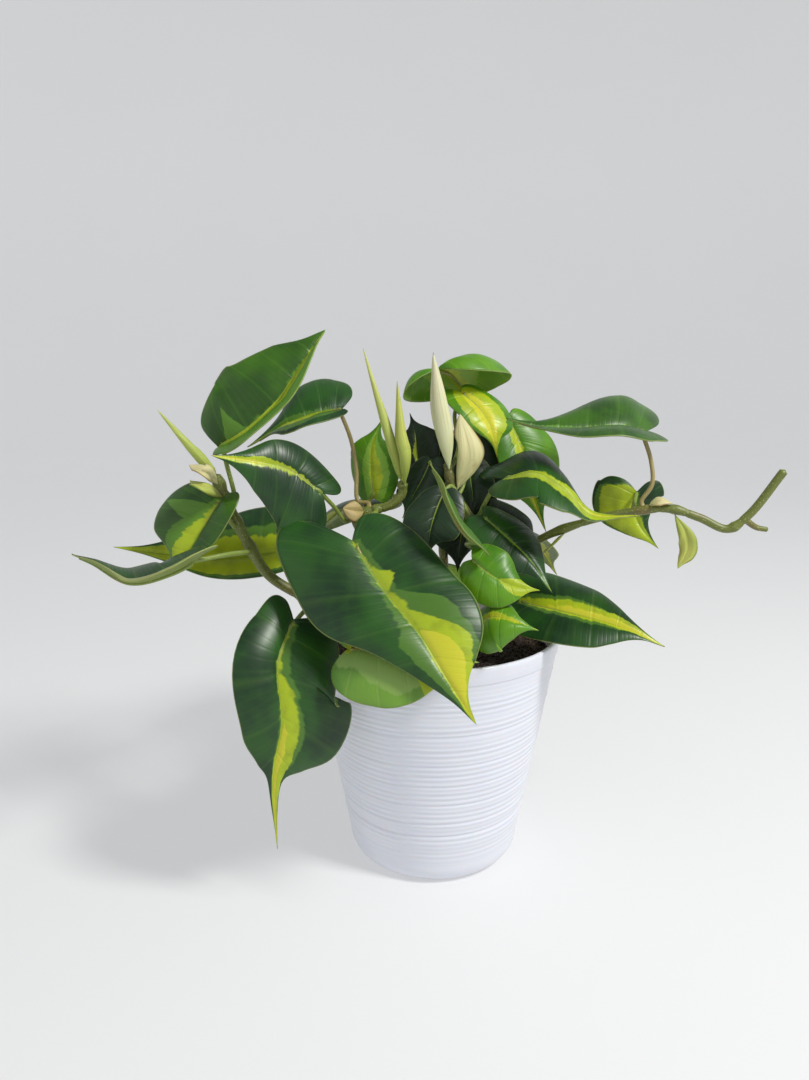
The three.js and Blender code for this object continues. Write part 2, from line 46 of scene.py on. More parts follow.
RIM_RADIUS = 0.065
POT_HEIGHT = 0.122
FOOT_RADIUS = 0.037
WALL_FOOT_RADIUS = 0.0452
CORNER_HEIGHT = 0.011
WALL = 0.0022
BAND_HEIGHT = 0.009
BAND_FLARE = 0.001
BAND_STEP = 0.0006
FOOT_RING_HEIGHT = 0.003
FOOT_RING_WIDTH = 0.004
NOTCH_HALF_ANGLE = 0.19
NOTCH_HEIGHT = 0.0021
NOTCH_TURN = math.radians(9.5)
DRAIN_CIRCLE = 0.0185
DRAIN_RADIUS = 0.004
DRAIN_SIDES = 32
EDGE = 0.0006
POT_SIDES = 224
WALL_STEPS = 262
RIB_WAVES = ((0.0001, 0.00271, 0.0), (0.00006, 0.00347, 1.3), (0.000064, 0.0113, 0.7), (0.00004, 0.0173, 0.0))
GROOVE_HEIGHTS = (0.0866, 0.0701, 0.0585, 0.0477, 0.0367, 0.0295)
GROOVE_DEPTH = 0.00028
GROOVE_WIDTH = 0.0007


def linear(red, green, blue):
    """A colour given as 0 to 255 in each channel, as the shader wants it."""
    shares = [channel / 255 for channel in (red, green, blue)]
    return tuple(s / 12.92 if s < 0.04 else ((s + 0.055) / 1.055) ** 2.4 for s in shares) + (1.0,)


def rib_depth(z):
    """How far the ribbed wall stands in or out at height z: uneven waves with six deeper grooves."""
    level = (z - CORNER_HEIGHT) / (POT_HEIGHT - BAND_HEIGHT - CORNER_HEIGHT)
    fade = np.clip(level * 12, 0, 1) * np.clip((1 - level) * 12, 0, 1)
    ribs = sum(depth * math.sin(z * 2 * math.pi / pitch + phase) for depth, pitch, phase in RIB_WAVES)
    grooves = sum(math.exp(-((z - height) / GROOVE_WIDTH) ** 2) for height in GROOVE_HEIGHTS)
    return float(fade * (ribs - GROOVE_DEPTH * grooves))


def pot_outline():
    """The pot's section from the middle of its underside, over the rim, to the middle of its floor."""
    ring_in = FOOT_RADIUS - FOOT_RING_WIDTH
    outline = [(0.0, FOOT_RING_HEIGHT), (ring_in - EDGE, FOOT_RING_HEIGHT)]
    outline += [(ring_in, FOOT_RING_HEIGHT - EDGE), (ring_in, FOOT_RING_HEIGHT / 2), (ring_in, 0.0004)]
    outline += [(ring_in + 0.0004, 0.0), (FOOT_RADIUS - 0.0002, 0.0)]
    for turn in np.linspace(0.08, 1, 12) * math.pi / 2:
        spread = (WALL_FOOT_RADIUS - FOOT_RADIUS) * math.sin(turn)
        outline.append((FOOT_RADIUS + spread, CORNER_HEIGHT * (1 - math.cos(turn))))
    band = POT_HEIGHT - BAND_HEIGHT
    wall_top = RIM_RADIUS - BAND_FLARE - BAND_STEP
    for z in np.linspace(CORNER_HEIGHT, band, WALL_STEPS)[1:]:
        share = (z - CORNER_HEIGHT) / (band - CORNER_HEIGHT)
        outline.append((WALL_FOOT_RADIUS + (wall_top - WALL_FOOT_RADIUS) * share + rib_depth(z), z))
    outline += [(RIM_RADIUS - BAND_FLARE - 0.0002, band + 0.0004), (RIM_RADIUS - BAND_FLARE, band + 0.0009)]
    outline += [(RIM_RADIUS - 0.0004, POT_HEIGHT - 0.0022), (RIM_RADIUS - 0.0001, POT_HEIGHT - 0.0006)]
    outline += [(RIM_RADIUS - EDGE, POT_HEIGHT), (RIM_RADIUS - WALL + EDGE, POT_HEIGHT)]
    outline += [(RIM_RADIUS - WALL, POT_HEIGHT - 0.0008), (RIM_RADIUS - WALL - 0.0022, POT_HEIGHT - 0.014)]
    floor = FOOT_RING_HEIGHT + WALL
    outline += [(WALL_FOOT_RADIUS - WALL, CORNER_HEIGHT + WALL)]
    outline += [(WALL_FOOT_RADIUS - WALL - CORNER_HEIGHT / 2, floor), (0.0, floor)]
    return outline


def turned_mesh(name, outline, sides):
    """A closed mesh turned round +Z from an outline that starts and ends on the axis."""
    made = bmesh.new()
    rings = []
    turns = [2 * math.pi * i / sides for i in range(sides)]
    for radius, z in outline:
        around = turns if radius > 1e-9 else turns[:1]
        rings.append([made.verts.new((radius * math.cos(t), radius * math.sin(t), z)) for t in around])
    for low, high in zip(rings, rings[1:]):
        for i in range(sides):
            j = (i + 1) % sides
            corners = [low[i % len(low)], low[j % len(low)], high[j % len(high)], high[i % len(high)]]
            made.faces.new(list(dict.fromkeys(corners)))
    bmesh.ops.recalc_face_normals(made, faces=made.faces)
    mesh = bpy.data.meshes.new(name)
    made.to_mesh(mesh)
    made.free()
    mesh.shade_smooth()
    return mesh


def place(name, mesh, *finishes):
    """Puts a finished mesh in the scene with its finishes."""
    piece = bpy.data.objects.new(name, mesh)
    bpy.context.collection.objects.link(piece)
    for finish in finishes:
        mesh.materials.append(finish)
    return piece


def baked(piece):
    """Turns a piece's modifiers into plain mesh."""
    ready = piece.evaluated_get(bpy.context.evaluated_depsgraph_get())
    mesh = bpy.data.meshes.new_from_object(ready)
    piece.modifiers.clear()
    old = piece.data
    piece.data = mesh
    mesh.name = old.name
    bpy.data.meshes.remove(old)
    return piece


def finish_tree(name, roughness, **constants):
    """A new material with its one shader; returns the material, its nodes' adder and the shader."""
    material = bpy.data.materials.new(name)
    material.use_nodes = True
    tree = material.node_tree
    shader = tree.nodes["Principled BSDF"]
    shader.inputs["Roughness"].default_value = roughness
    for socket, value in constants.items():
        shader.inputs[socket.replace("_", " ")].default_value = value

    def add(kind, inputs=None, **settings):
        node = tree.nodes.new(kind)
        for key, value in settings.items():
            setattr(node, key, value)
        for key, value in (inputs or {}).items():
            socket = node.inputs[key]
            if isinstance(value, bpy.types.NodeSocket):
                tree.links.new(value, socket)
            else:
                socket.default_value = value
        return node

    def join(out, socket):
        tree.links.new(out, socket)

    return material, add, join, shader


def mixed(add, share, low, high, kind="RGBA"):
    """A blend of two colours (or two numbers) by a share."""
    node = add("ShaderNodeMix", data_type=kind)
    places = {"RGBA": (6, 7, 2), "FLOAT": (2, 3, 0)}[kind]
    for index, value in ((0, share), (places[0], low), (places[1], high)):
        if isinstance(value, bpy.types.NodeSocket):
            node.id_data.links.new(value, node.inputs[index])
        else:
            node.inputs[index].default_value = value
    return node.outputs[places[2]]


def ramp(add, value, low, high):
    """0 below low, 1 above high, smooth between."""
    return add("ShaderNodeMapRange", {"Value": value, "From Min": low, "From Max": high},
               interpolation_type="SMOOTHSTEP").outputs["Result"]


def white_plastic():
    """Glossy white moulded plastic, faintly cloudy, with fine drag marks and dust round the wall."""
    material, add, join, shader = finish_tree("pot_plastic", 0.3, Coat_Weight=0.25, Coat_Roughness=0.12,
                                              Subsurface_Weight=0.12, Subsurface_Scale=0.004)
    place_on = add("ShaderNodeTexCoord").outputs["Object"]
    cloud = add("ShaderNodeTexNoise", {"Vector": place_on, "Scale": 34.0, "Detail": 4.0}).outputs["Fac"]
    flat = add("ShaderNodeMapping", {"Vector": place_on, "Scale": (14.0, 14.0, 900.0)}).outputs["Vector"]
    drag = add("ShaderNodeTexNoise", {"Vector": flat, "Scale": 1.0, "Detail": 5.0, "Roughness": 0.6})
    drag = drag.outputs["Fac"]
    body = mixed(add, cloud, linear(216, 219, 230), linear(226, 228, 236))
    dusty = mixed(add, ramp(add, drag, 0.62, 0.86), body, linear(192, 194, 206))
    join(dusty, shader.inputs["Base Color"])
    join(mixed(add, drag, 0.24, 0.42, "FLOAT"), shader.inputs["Roughness"])
    bump = add("ShaderNodeBump", {"Strength": 0.35, "Distance": 0.0004, "Height": drag})
    join(bump.outputs["Normal"], shader.inputs["Normal"])
    return material


pot = place("pot_body", turned_mesh("pot_body", pot_outline(), POT_SIDES), white_plastic())
for vertex in pot.data.vertices:
    turn = math.atan2(vertex.co.y, vertex.co.x) + math.pi / 2 + NOTCH_TURN
    aside = abs((turn + math.pi / 4) % (math.pi / 2) - math.pi / 4)
    if aside < NOTCH_HALF_ANGLE and vertex.co.z < NOTCH_HEIGHT:
        vertex.co.z = NOTCH_HEIGHT

made = bmesh.new()
for i in range(4):
    turn = -math.pi / 2 - NOTCH_TURN + i * math.pi / 2
    middle = (DRAIN_CIRCLE * math.cos(turn), DRAIN_CIRCLE * math.sin(turn), FOOT_RING_HEIGHT)
    bore = bmesh.ops.create_cone(made, cap_ends=True, segments=DRAIN_SIDES, radius1=DRAIN_RADIUS,
                                 radius2=DRAIN_RADIUS, depth=3 * DRAIN_RADIUS)
    bmesh.ops.translate(made, verts=bore["verts"], vec=middle)
drill_mesh = bpy.data.meshes.new("drain_drill")
made.to_mesh(drill_mesh)
made.free()
drill = place("drain_drill", drill_mesh)
cut = pot.modifiers.new("drain_holes", "BOOLEAN")
cut.operation = "DIFFERENCE"
cut.object = drill
baked(pot)
bpy.data.objects.remove(drill)
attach(pot, "root")
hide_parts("pot")

# ---------------------------------------------------------------- the soil
# Dark damp potting mix that fills the pot to a finger's width under the rim. Its crumbs of bark and peat are
# strewn over the lumpy surface, and it heaps up a little round each stem.

SOIL_TOP = 0.110
SOIL_GAP = 0.0006
SOIL_SEAT = 0.0003
SOIL_SIDES = 150
LUMP_HEIGHT = 0.0032
LUMP_WAVES = 26
HEAP_HEIGHT = 0.0022
HEAP_RADIUS = 0.007
CRUMBS_PER_SQUARE_METRE = 150000.0
SMALLEST_CRUMB = 0.0004
LARGEST_CRUMB = 0.0016
STEM_FEET = [(-0.030, -0.012), (0.030, 0.014), (-0.020, -0.004), (0.012, -0.006), (0.004, 0.030)]


def soil_mesh():
    """The body of soil inside the pot's wall, lumpy on top and heaped up round each stem's foot."""
    slope = (RIM_RADIUS - WALL_FOOT_RADIUS) / (POT_HEIGHT - CORNER_HEIGHT - WALL)
    bend = CORNER_HEIGHT + WALL
    inner = WALL_FOOT_RADIUS - WALL - SOIL_GAP
    edge = inner + slope * (SOIL_TOP - bend)
    bottom = FOOT_RING_HEIGHT + WALL + SOIL_SEAT
    outline = [(0.0, bottom), (inner - CORNER_HEIGHT / 2, bottom)]
    outline += [(inner, bend), (edge - SOIL_SEAT, SOIL_TOP - 0.002)]
    outline += [(radius, SOIL_TOP) for radius in np.linspace(edge - SOIL_SEAT, 0.001, 46)] + [(0.0, SOIL_TOP)]
    mesh = turned_mesh("soil", outline, SOIL_SIDES)
    rng = np.random.default_rng(11)
    waves = rng.normal(size=(LUMP_WAVES, 2)) * 260
    shifts = rng.uniform(0, 2 * math.pi, LUMP_WAVES)
    for vertex in mesh.vertices:
        x, y, z = vertex.co
        if z > SOIL_TOP - 0.0005:
            lumps = sum(math.sin(waves[k, 0] * x + waves[k, 1] * y + shifts[k]) for k in range(LUMP_WAVES))
            heap = sum(math.exp(-((x - fx) ** 2 + (y - fy) ** 2) / HEAP_RADIUS ** 2) for fx, fy in STEM_FEET)
            vertex.co.z += LUMP_HEIGHT * lumps / LUMP_WAVES + HEAP_HEIGHT * heap - 0.0005
    return mesh


def damp_soil():
    """Dark damp peat with paler grains of bark."""
    material, add, join, shader = finish_tree("potting_mix", 0.85)
    place_on = add("ShaderNodeTexCoord").outputs["Object"]
    grains = add("ShaderNodeTexVoronoi", {"Vector": place_on, "Scale": 620.0})
    damp = add("ShaderNodeTexNoise", {"Vector": place_on, "Scale": 85.0, "Detail": 6.0}).outputs["Fac"]
    tone = mixed(add, damp, linear(22, 15, 11), linear(66, 47, 34))
    speck = add("ShaderNodeTexNoise", {"Vector": place_on, "Scale": 900.0, "Detail": 2.0}).outputs["Fac"]
    join(mixed(add, ramp(add, speck, 0.68, 0.76), tone, linear(120, 96, 70)), shader.inputs["Base Color"])
    join(mixed(add, damp, 0.95, 0.6, "FLOAT"), shader.inputs["Roughness"])
    bump = add("ShaderNodeBump", {"Strength": 0.9, "Distance": 0.0012, "Height": grains.outputs["Distance"]})
    join(bump.outputs["Normal"], shader.inputs["Normal"])
    return material


def strewing_tree(name, crumb_material):
    """Strews small lumps over the upward faces of a surface and joins them to it."""
    tree = bpy.data.node_groups.new(name, "GeometryNodeTree")
    face = tree.interface
    face.new_socket("Geometry", in_out="INPUT", socket_type="NodeSocketGeometry")
    sizes = {}
    for label, kind, value in (("Crumbs per square metre", "NodeSocketFloat", 0.0),
                               ("Smallest crumb", "NodeSocketFloat", SMALLEST_CRUMB),
                               ("Largest crumb", "NodeSocketFloat", LARGEST_CRUMB),
                               ("Seed", "NodeSocketInt", 4)):
        socket = face.new_socket(label, in_out="INPUT", socket_type=kind)
        socket.default_value = value
        sizes[label] = socket.identifier
    face.new_socket("Geometry", in_out="OUTPUT", socket_type="NodeSocketGeometry")
    new = tree.nodes.new
    link = tree.links.new
    given = new("NodeGroupInput")
    out = new("NodeGroupOutput")
    spread = new("GeometryNodeDistributePointsOnFaces")
    normal = new("GeometryNodeInputNormal")
    split = new("ShaderNodeSeparateXYZ")
    above = new("ShaderNodeMath")
    above.operation = "GREATER_THAN"
    above.inputs[1].default_value = 0.6
    lump = new("GeometryNodeMeshIcoSphere")
    lump.inputs["Radius"].default_value = 1.0
    lump.inputs["Subdivisions"].default_value = 1
    scale = new("FunctionNodeRandomValue")
    scale.data_type = "FLOAT_VECTOR"
    turn = new("FunctionNodeRandomValue")
    turn.data_type = "FLOAT_VECTOR"
    turn.inputs[1].default_value = (6.28, 6.28, 6.28)
    put = new("GeometryNodeInstanceOnPoints")
    solid = new("GeometryNodeRealizeInstances")
    both = new("GeometryNodeJoinGeometry")
    paint = new("GeometryNodeSetMaterial")
    paint.inputs["Material"].default_value = crumb_material
    link(given.outputs["Geometry"], spread.inputs["Mesh"])
    link(given.outputs["Crumbs per square metre"], spread.inputs["Density"])
    link(given.outputs["Seed"], spread.inputs["Seed"])
    link(normal.outputs[0], split.inputs[0])
    link(split.outputs["Z"], above.inputs[0])
    link(above.outputs[0], spread.inputs["Selection"])
    link(given.outputs["Smallest crumb"], scale.inputs[0])
    link(given.outputs["Largest crumb"], scale.inputs[1])
    link(spread.outputs["Points"], put.inputs["Points"])
    link(lump.outputs["Mesh"], put.inputs["Instance"])
    link(scale.outputs[0], put.inputs["Scale"])
    link(turn.outputs[0], put.inputs["Rotation"])
    link(put.outputs["Instances"], solid.inputs["Geometry"])
    link(given.outputs["Geometry"], both.inputs[0])
    link(solid.outputs["Geometry"], both.inputs[0])
    link(both.outputs[0], paint.inputs["Geometry"])
    link(paint.outputs["Geometry"], out.inputs["Geometry"])
    return tree, sizes


potting_mix = damp_soil()
soil = place("soil_surface", soil_mesh(), potting_mix)
strewn, strewn_sizes = strewing_tree("soil_crumbs", potting_mix)
strew = soil.modifiers.new("crumbs", "NODES")
strew.node_group = strewn
strew[strewn_sizes["Crumbs per square metre"]] = CRUMBS_PER_SQUARE_METRE
baked(soil)
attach(soil, "root")
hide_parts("soil")

# ---------------------------------------------------------------- the stems
# Five living stems stand in the soil: smooth olive bark that reddens and turns woody towards the foot, with
# a swollen, ringed node wherever a leaf or a sheath grew. Points are millimetres from the rim's centre.

SOIL_LEVEL = -12.0


def to_metres(points):
    return np.asarray(points, float) * 0.001 + np.array([0.0, 0.0, POT_HEIGHT])


def curve_at(points, shares):
    """Points on the smooth curve through some points, at shares that count its points evenly."""
    points = np.asarray(points, float)
    last = len(points) - 1
    shares = np.atleast_1d(shares) * last
    index = np.clip(np.floor(shares).astype(int), 0, last - 1)
    local = (shares - index)[:, None]
    ends = np.vstack([2 * points[0] - points[1], points, 2 * points[-1] - points[-2]])
    p0, p1, p2, p3 = ends[index], ends[index + 1], ends[index + 2], ends[index + 3]
    gaps = [np.linalg.norm(b - a, axis=1)[:, None] for a, b in ((p0, p1), (p1, p2), (p2, p3))]
    d0, d1, d2 = (np.maximum(gap, 1e-8) ** 0.5 for gap in gaps)
    t1 = ((p1 - p0) / d0 - (p2 - p0) / (d0 + d1) + (p2 - p1) / d1) * d1
    t2 = ((p2 - p1) / d1 - (p3 - p1) / (d1 + d2) + (p3 - p2) / d2) * d1
    a2, a3 = -3 * p1 + 3 * p2 - 2 * t1 - t2, 2 * p1 - 2 * p2 + t1 + t2
    return p1 + t1 * local + a2 * local ** 2 + a3 * local ** 3


def curve_heading(points, shares):
    """Directions of that curve at some shares."""
    shares = np.atleast_1d(shares)
    heading = curve_at(points, np.minimum(shares + 1e-4, 1)) - curve_at(points, np.maximum(shares - 1e-4, 0))
    return heading / np.linalg.norm(heading, axis=1)[:, None]


def tube_mesh(name, path, radii, sides):
    """A closed round tube along a path, with its own radius at each point and its length as UV."""
    path, radii = np.asarray(path, float), np.asarray(radii, float)
    heading = np.gradient(path, axis=0)
    heading /= np.linalg.norm(heading, axis=1)[:, None]
    side = np.cross(heading[0], (0.0, 0.3, 1.0) if abs(heading[0][2]) < 0.9 else (0.0, 1.0, 0.0))
    side /= np.linalg.norm(side)
    turns = np.linspace(0, 2 * math.pi, sides, endpoint=False)
    made = bmesh.new()
    wrap = made.loops.layers.uv.new("lie")
    rings = []
    for k, point in enumerate(path):
        side = side - heading[k] * side.dot(heading[k])
        side /= np.linalg.norm(side)
        other = np.cross(heading[k], side)
        ring = point + radii[k] * (np.cos(turns)[:, None] * side + np.sin(turns)[:, None] * other)
        rings.append([made.verts.new(corner) for corner in ring])
    lengths = np.concatenate([[0], np.cumsum(np.linalg.norm(np.diff(path, axis=0), axis=1))])
    for k in range(len(path) - 1):
        for i in range(sides):
            j = (i + 1) % sides
            face = made.faces.new((rings[k][i], rings[k][j], rings[k + 1][j], rings[k + 1][i]))
            for loop, (u, v) in zip(face.loops, ((i, k), (i + 1, k), (i + 1, k + 1), (i, k + 1))):
                loop[wrap].uv = (u / sides, lengths[v] * 10)
    for end, outward in ((0, -1), (-1, 1)):
        tip = made.verts.new(path[end] + heading[end] * outward * radii[end] * 0.6)
        for i in range(sides):
            j = (i + 1) % sides
            made.faces.new((rings[end][i], rings[end][j], tip))
    bmesh.ops.recalc_face_normals(made, faces=made.faces)
    mesh = bpy.data.meshes.new(name)
    made.to_mesh(mesh)
    made.free()
    mesh.shade_smooth()
    return mesh


def bark(name, young, old, blush):
    """Smooth bark with darker lengthwise streaks, blushed patches, pale dots and an older tone low down."""
    material, add, join, shader = finish_tree(name, 0.42, Coat_Weight=0.12, Coat_Roughness=0.3)
    lie = add("ShaderNodeUVMap", uv_map="lie").outputs["UV"]
    place_on = add("ShaderNodeTexCoord").outputs["Object"]
    long_way = add("ShaderNodeMapping", {"Vector": lie, "Scale": (16.0, 3.0, 1.0)}).outputs["Vector"]
    streak = add("ShaderNodeTexNoise", {"Vector": long_way, "Scale": 1.6, "Detail": 5.0}).outputs["Fac"]
    patch = add("ShaderNodeTexNoise", {"Vector": place_on, "Scale": 55.0, "Detail": 3.0}).outputs["Fac"]
    height = add("ShaderNodeSeparateXYZ", {"Vector": place_on}).outputs["Z"]
    tone = mixed(add, ramp(add, height, 0.112, 0.165), linear(*old), linear(*young))
    tone = mixed(add, ramp(add, patch, 0.5, 0.72), tone, linear(*blush))
    dark = tuple(int(c * 0.62) for c in young)
    tone = mixed(add, ramp(add, streak, 0.52, 0.75), tone, linear(*dark))
    dots = add("ShaderNodeTexVoronoi", {"Vector": place_on, "Scale": 900.0}).outputs["Distance"]
    join(mixed(add, ramp(add, dots, 0.1, 0.22), linear(196, 196, 140), tone), shader.inputs["Base Color"])
    join(mixed(add, streak, 0.34, 0.55, "FLOAT"), shader.inputs["Roughness"])
    bump = add("ShaderNodeBump", {"Strength": 0.35, "Distance": 0.0005, "Height": streak})
    join(bump.outputs["Normal"], shader.inputs["Normal"])
    return material


def grow_stem(name, foot, points, radius, nodes, finish, stub=None):
    """A stem from its foot on the soil through its points, swollen at its nodes."""
    upright = [[foot[0], foot[1], SOIL_LEVEL - 3], [foot[0], foot[1], SOIL_LEVEL + 5.3]]
    whole = [[foot[0], foot[1], SOIL_LEVEL + 0.3]] + upright[1:] + list(points)
    shares = np.linspace(0, 1, 34 * len(points))
    path = to_metres(curve_at(whole, shares))
    path[0] -= (0, 0, 0.003)
    thick = radius * (1.0 + 0.12 * np.exp(-shares * 14))
    for node in nodes:
        thick = thick + radius * 0.26 * np.exp(-((shares - node) * len(points) / 0.16) ** 2)
        thick = thick - radius * 0.10 * np.exp(-((shares - node - 0.035) * len(points) / 0.05) ** 2)
    stem = place(name, tube_mesh(name, path, thick * 0.001, 18), finish)
    if stub:
        spur_path = to_metres(curve_at(stub, np.linspace(0, 1, 14)))
        spur_radii = np.linspace(0.8, 0.6, 14) * radius * 0.001
        spur = place(name + "_stub", tube_mesh(name + "_stub", spur_path, spur_radii, 12), finish)
        with bpy.context.temp_override(active_object=stem, selected_editable_objects=[stem, spur]):
            bpy.ops.object.join()
    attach(stem, "root")
    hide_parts(name)
    return whole, radius


olive_bark = bark("olive_bark", (104, 114, 44), (104, 88, 44), (112, 98, 50))
red_bark = bark("red_bark", (92, 92, 40), (88, 62, 36), (104, 72, 42))
left_vine = grow_stem("vine_left", (-30, -12), [
    [-46, -20, 8], [-64, -25, 22], [-80, -28, 34], [-90, -30, 52], [-97, -33, 70], [-101, -36, 83]],
    2.5, (0.22, 0.42, 0.68, 0.78, 0.88, 0.96), olive_bark)
right_vine = grow_stem("vine_right", (30, 14), [
    [37, 12, 26], [52, 4, 44], [74, -5, 56], [93, -11, 62], [113, -16, 65],
    [127, -18, 61], [140, -20, 56], [149, -21, 63], [162, -24, 84]],
    2.0, (0.12, 0.18, 0.36, 0.54, 0.62, 0.83), olive_bark, [[147, -21, 61], [153, -21, 57], [158, -21, 56]])
centre_stem = grow_stem("stem_centre", (-20, -4), [
    [-28, -8, 30], [-37, -10, 52], [-39, -12, 60], [-30, -12, 63], [-21, -11, 66],
    [-16, -10, 71], [-16, -10, 77]],
    2.2, (0.12, 0.5, 0.58, 0.64, 0.96), olive_bark)
tall_stem = grow_stem("stem_tall", (12, -6), [
    [20, -8, 26], [22, -10, 48], [16, -10, 62], [9, -11, 72], [6, -12, 86]],
    2.0, (0.2, 0.38, 0.52, 0.62, 0.8, 0.93), red_bark)
back_stem = grow_stem("stem_back", (4, 30), [
    [6, 36, 20], [2, 42, 44], [-4, 46, 62]],
    2.0, (0.3, 0.6, 0.8, 0.96), olive_bark)

# ---------------------------------------------------------------- the leaves
# Thick glossy heart-shaped leaves, dark green with flames of lime and yellow that run out along the side
# veins. A blade hangs on a round petiole that goes on under it as the midrib; both grew as one piece.

HEART = ([
    [0, 0, 0], [0.34, -0.13, 0.01], [0.72, -0.11, 0.05], [0.95, 0.05, 0.15], [1, 0.3, 0.3],
    [0.88, 0.47, 0.44], [0.57, 0.62, 0.58], [0.27, 0.75, 0.72], [0.09, 0.87, 0.86], [0, 1, 1]], 0.3)
LONG_TIPPED_HEART = ([
    [0, 0, 0], [0.34, -0.08, 0.01], [0.72, -0.07, 0.05], [0.94, 0.1, 0.17], [1, 0.34, 0.34],
    [0.85, 0.53, 0.48], [0.42, 0.66, 0.6], [0.13, 0.74, 0.7], [0.04, 0.87, 0.86], [0, 1, 1]], 0.34)
OVATE = ([
    [0, 0, 0], [0.42, -0.04, 0.02], [0.72, 0.08, 0.08], [0.9, 0.24, 0.21], [1, 0.47, 0.42],
    [0.86, 0.61, 0.56], [0.55, 0.75, 0.7], [0.22, 0.875, 0.86], [0, 1, 1]], 0.47)
BLADE_THICKNESS = 0.00055
PETIOLE_RADIUS = 1.15
RIB_TAPER = 0.68
RIB_GROOVE = 0.5
SIDE_VEINS = 7
VEIN_ROWS = 64
CROSS_STEPS = 22


def midrib_frame(blade, shares):
    """Place, heading, rightward and upward directions at shares of the midrib."""
    shares = np.atleast_1d(shares).astype(float)
    inside = np.clip(shares, 0, 1)
    along = curve_heading(blade["spine"], inside)
    origin = curve_at(blade["spine"], inside) + along * ((shares - inside) * blade["length"])[:, None]
    right = blade["across"] - along * (along @ blade["across"])[:, None]
    right /= np.linalg.norm(right, axis=1)[:, None]
    return origin, along, right, np.cross(right, along)


def make_blade(outline, spine, right, left, arch=0.1):
    """A blade set by its midrib and by the points where its right and left edges stand furthest out."""
    spine = np.asarray(spine, float)
    steps = curve_at(spine, np.linspace(0, 1, 201))
    length = float(np.linalg.norm(np.diff(steps, axis=0), axis=1).sum())
    across = np.subtract(right, left).astype(float)
    blade = {"edge": outline[0], "spine": spine, "arch": arch, "across": across, "length": length,
             "halves": {}}
    origin, along, sideways, up = (v[0] for v in midrib_frame(blade, outline[1]))
    for side, point in ((1, right), (-1, left)):
        reach = np.asarray(point, float) - origin
        out, rise, ahead = reach @ sideways, reach @ up, reach @ along
        blade["halves"][side] = (out, rise, ahead, math.hypot(out, rise))
    return blade


def half_normal(blade, frame, side):
    """The direction that one half's upper face looks in."""
    out, rise, _, span = blade["halves"][side]
    return frame[3] * (side * out / span) - frame[2] * (side * rise / span)


def blade_half(blade, side, rows, crossing, relief):
    """Points of one half: rows are side veins from base to tip, crossing runs from the midrib to the edge."""
    edge = curve_at(blade["edge"], rows)
    sideways, at_edge, at_rib = edge[:, 0], edge[:, 1], edge[:, 2]
    frame = midrib_frame(blade, at_rib + (at_edge - at_rib) * crossing)
    out, rise, ahead, span = blade["halves"][side]
    normal = half_normal(blade, frame, side)
    soft = np.clip(1 - crossing / 0.12, 0, 1)[:, None] * 0.5
    normal = normal * (1 - soft) + half_normal(blade, frame, -side) * soft
    normal /= np.linalg.norm(normal, axis=1)[:, None]
    crown = blade["arch"] * span * sideways * 4 * crossing * (1 - crossing)
    pleat = np.abs(np.sin(math.pi * SIDE_VEINS * rows + 0.4 * side)) ** 0.7 - 0.6
    fade = np.minimum(1, 5 * crossing) * np.minimum(1, 4 * (1 - crossing))
    crown = crown + relief["pleat"] * pleat * fade * sideways
    groove = np.exp(-(crossing * sideways * span / 1.1) ** 2)
    crown = crown - relief["groove"] * groove * np.sin(math.pi * rows) ** 0.3
    wave = np.sin(2 * math.pi * (relief["waves"] * rows + 0.25 * side + relief["shift"]))
    crown = crown + relief["wave"] * crossing ** 2 * sideways * wave
    reach = frame[2] * out + frame[3] * rise + frame[1] * ahead
    return frame[0] + reach * (sideways * crossing)[:, None] + normal * crown[:, None]


def blade_mesh(name, blade, marks, relief, rows=VEIN_ROWS, columns=CROSS_STEPS):
    """The blade as a skin with its vein UV and its marks: how far lime, yellow and pale green reach out."""
    share = np.linspace(0, 1, rows + 1)
    share = share + 0.03 * np.sin(2 * math.pi * share)
    cross = np.linspace(0, 1, columns + 1)
    grid = {}
    for side in (1, -1):
        r, c = (a.ravel() for a in np.meshgrid(share, cross, indexing="ij"))
        grid[side] = blade_half(blade, side, r, c, relief).reshape(rows + 1, columns + 1, 3)
    middle = (grid[1][:, :1] + grid[-1][:, :1]) / 2
    points = np.concatenate([grid[-1][:, :0:-1], middle, grid[1][:, 1:]], axis=1)
    signed = np.concatenate([-cross[:0:-1], cross])
    made = bmesh.new()
    veins = made.loops.layers.uv.new("veins")
    layer = made.verts.layers.float_vector.new("marks")
    verts = []
    for k in range(rows + 1):
        line = []
        for i, c in enumerate(signed):
            vert = made.verts.new(to_metres(points[k, i]))
            side = 1 if c < 0 else 2
            reach = [np.interp(share[k], [mark[0] for mark in table], [mark[side] for mark in table])
                     for table in marks]
            vert[layer] = [0.5 + float(far) - abs(c) for far in reach]
            line.append(vert)
        verts.append(line)
    for k in range(rows):
        for i in range(2 * columns):
            face = made.faces.new((verts[k][i], verts[k + 1][i], verts[k + 1][i + 1], verts[k][i + 1]))
            for loop, (a, b) in zip(face.loops, ((k, i), (k + 1, i), (k + 1, i + 1), (k, i + 1))):
                loop[veins].uv = (0.5 + signed[b] / 2, share[a])
    bmesh.ops.remove_doubles(made, verts=made.verts, dist=1e-6)
    made.normal_update()
    up = half_normal(blade, midrib_frame(blade, 0.4), 1)[0]
    facing = sum((face.normal * face.calc_area() for face in made.faces), start=made.faces[:][0].normal * 0)
    if facing.dot(up) < 0:
        bmesh.ops.reverse_faces(made, faces=made.faces)
    mesh = bpy.data.meshes.new(name)
    made.to_mesh(mesh)
    made.free()
    mesh.shade_smooth()
    return mesh


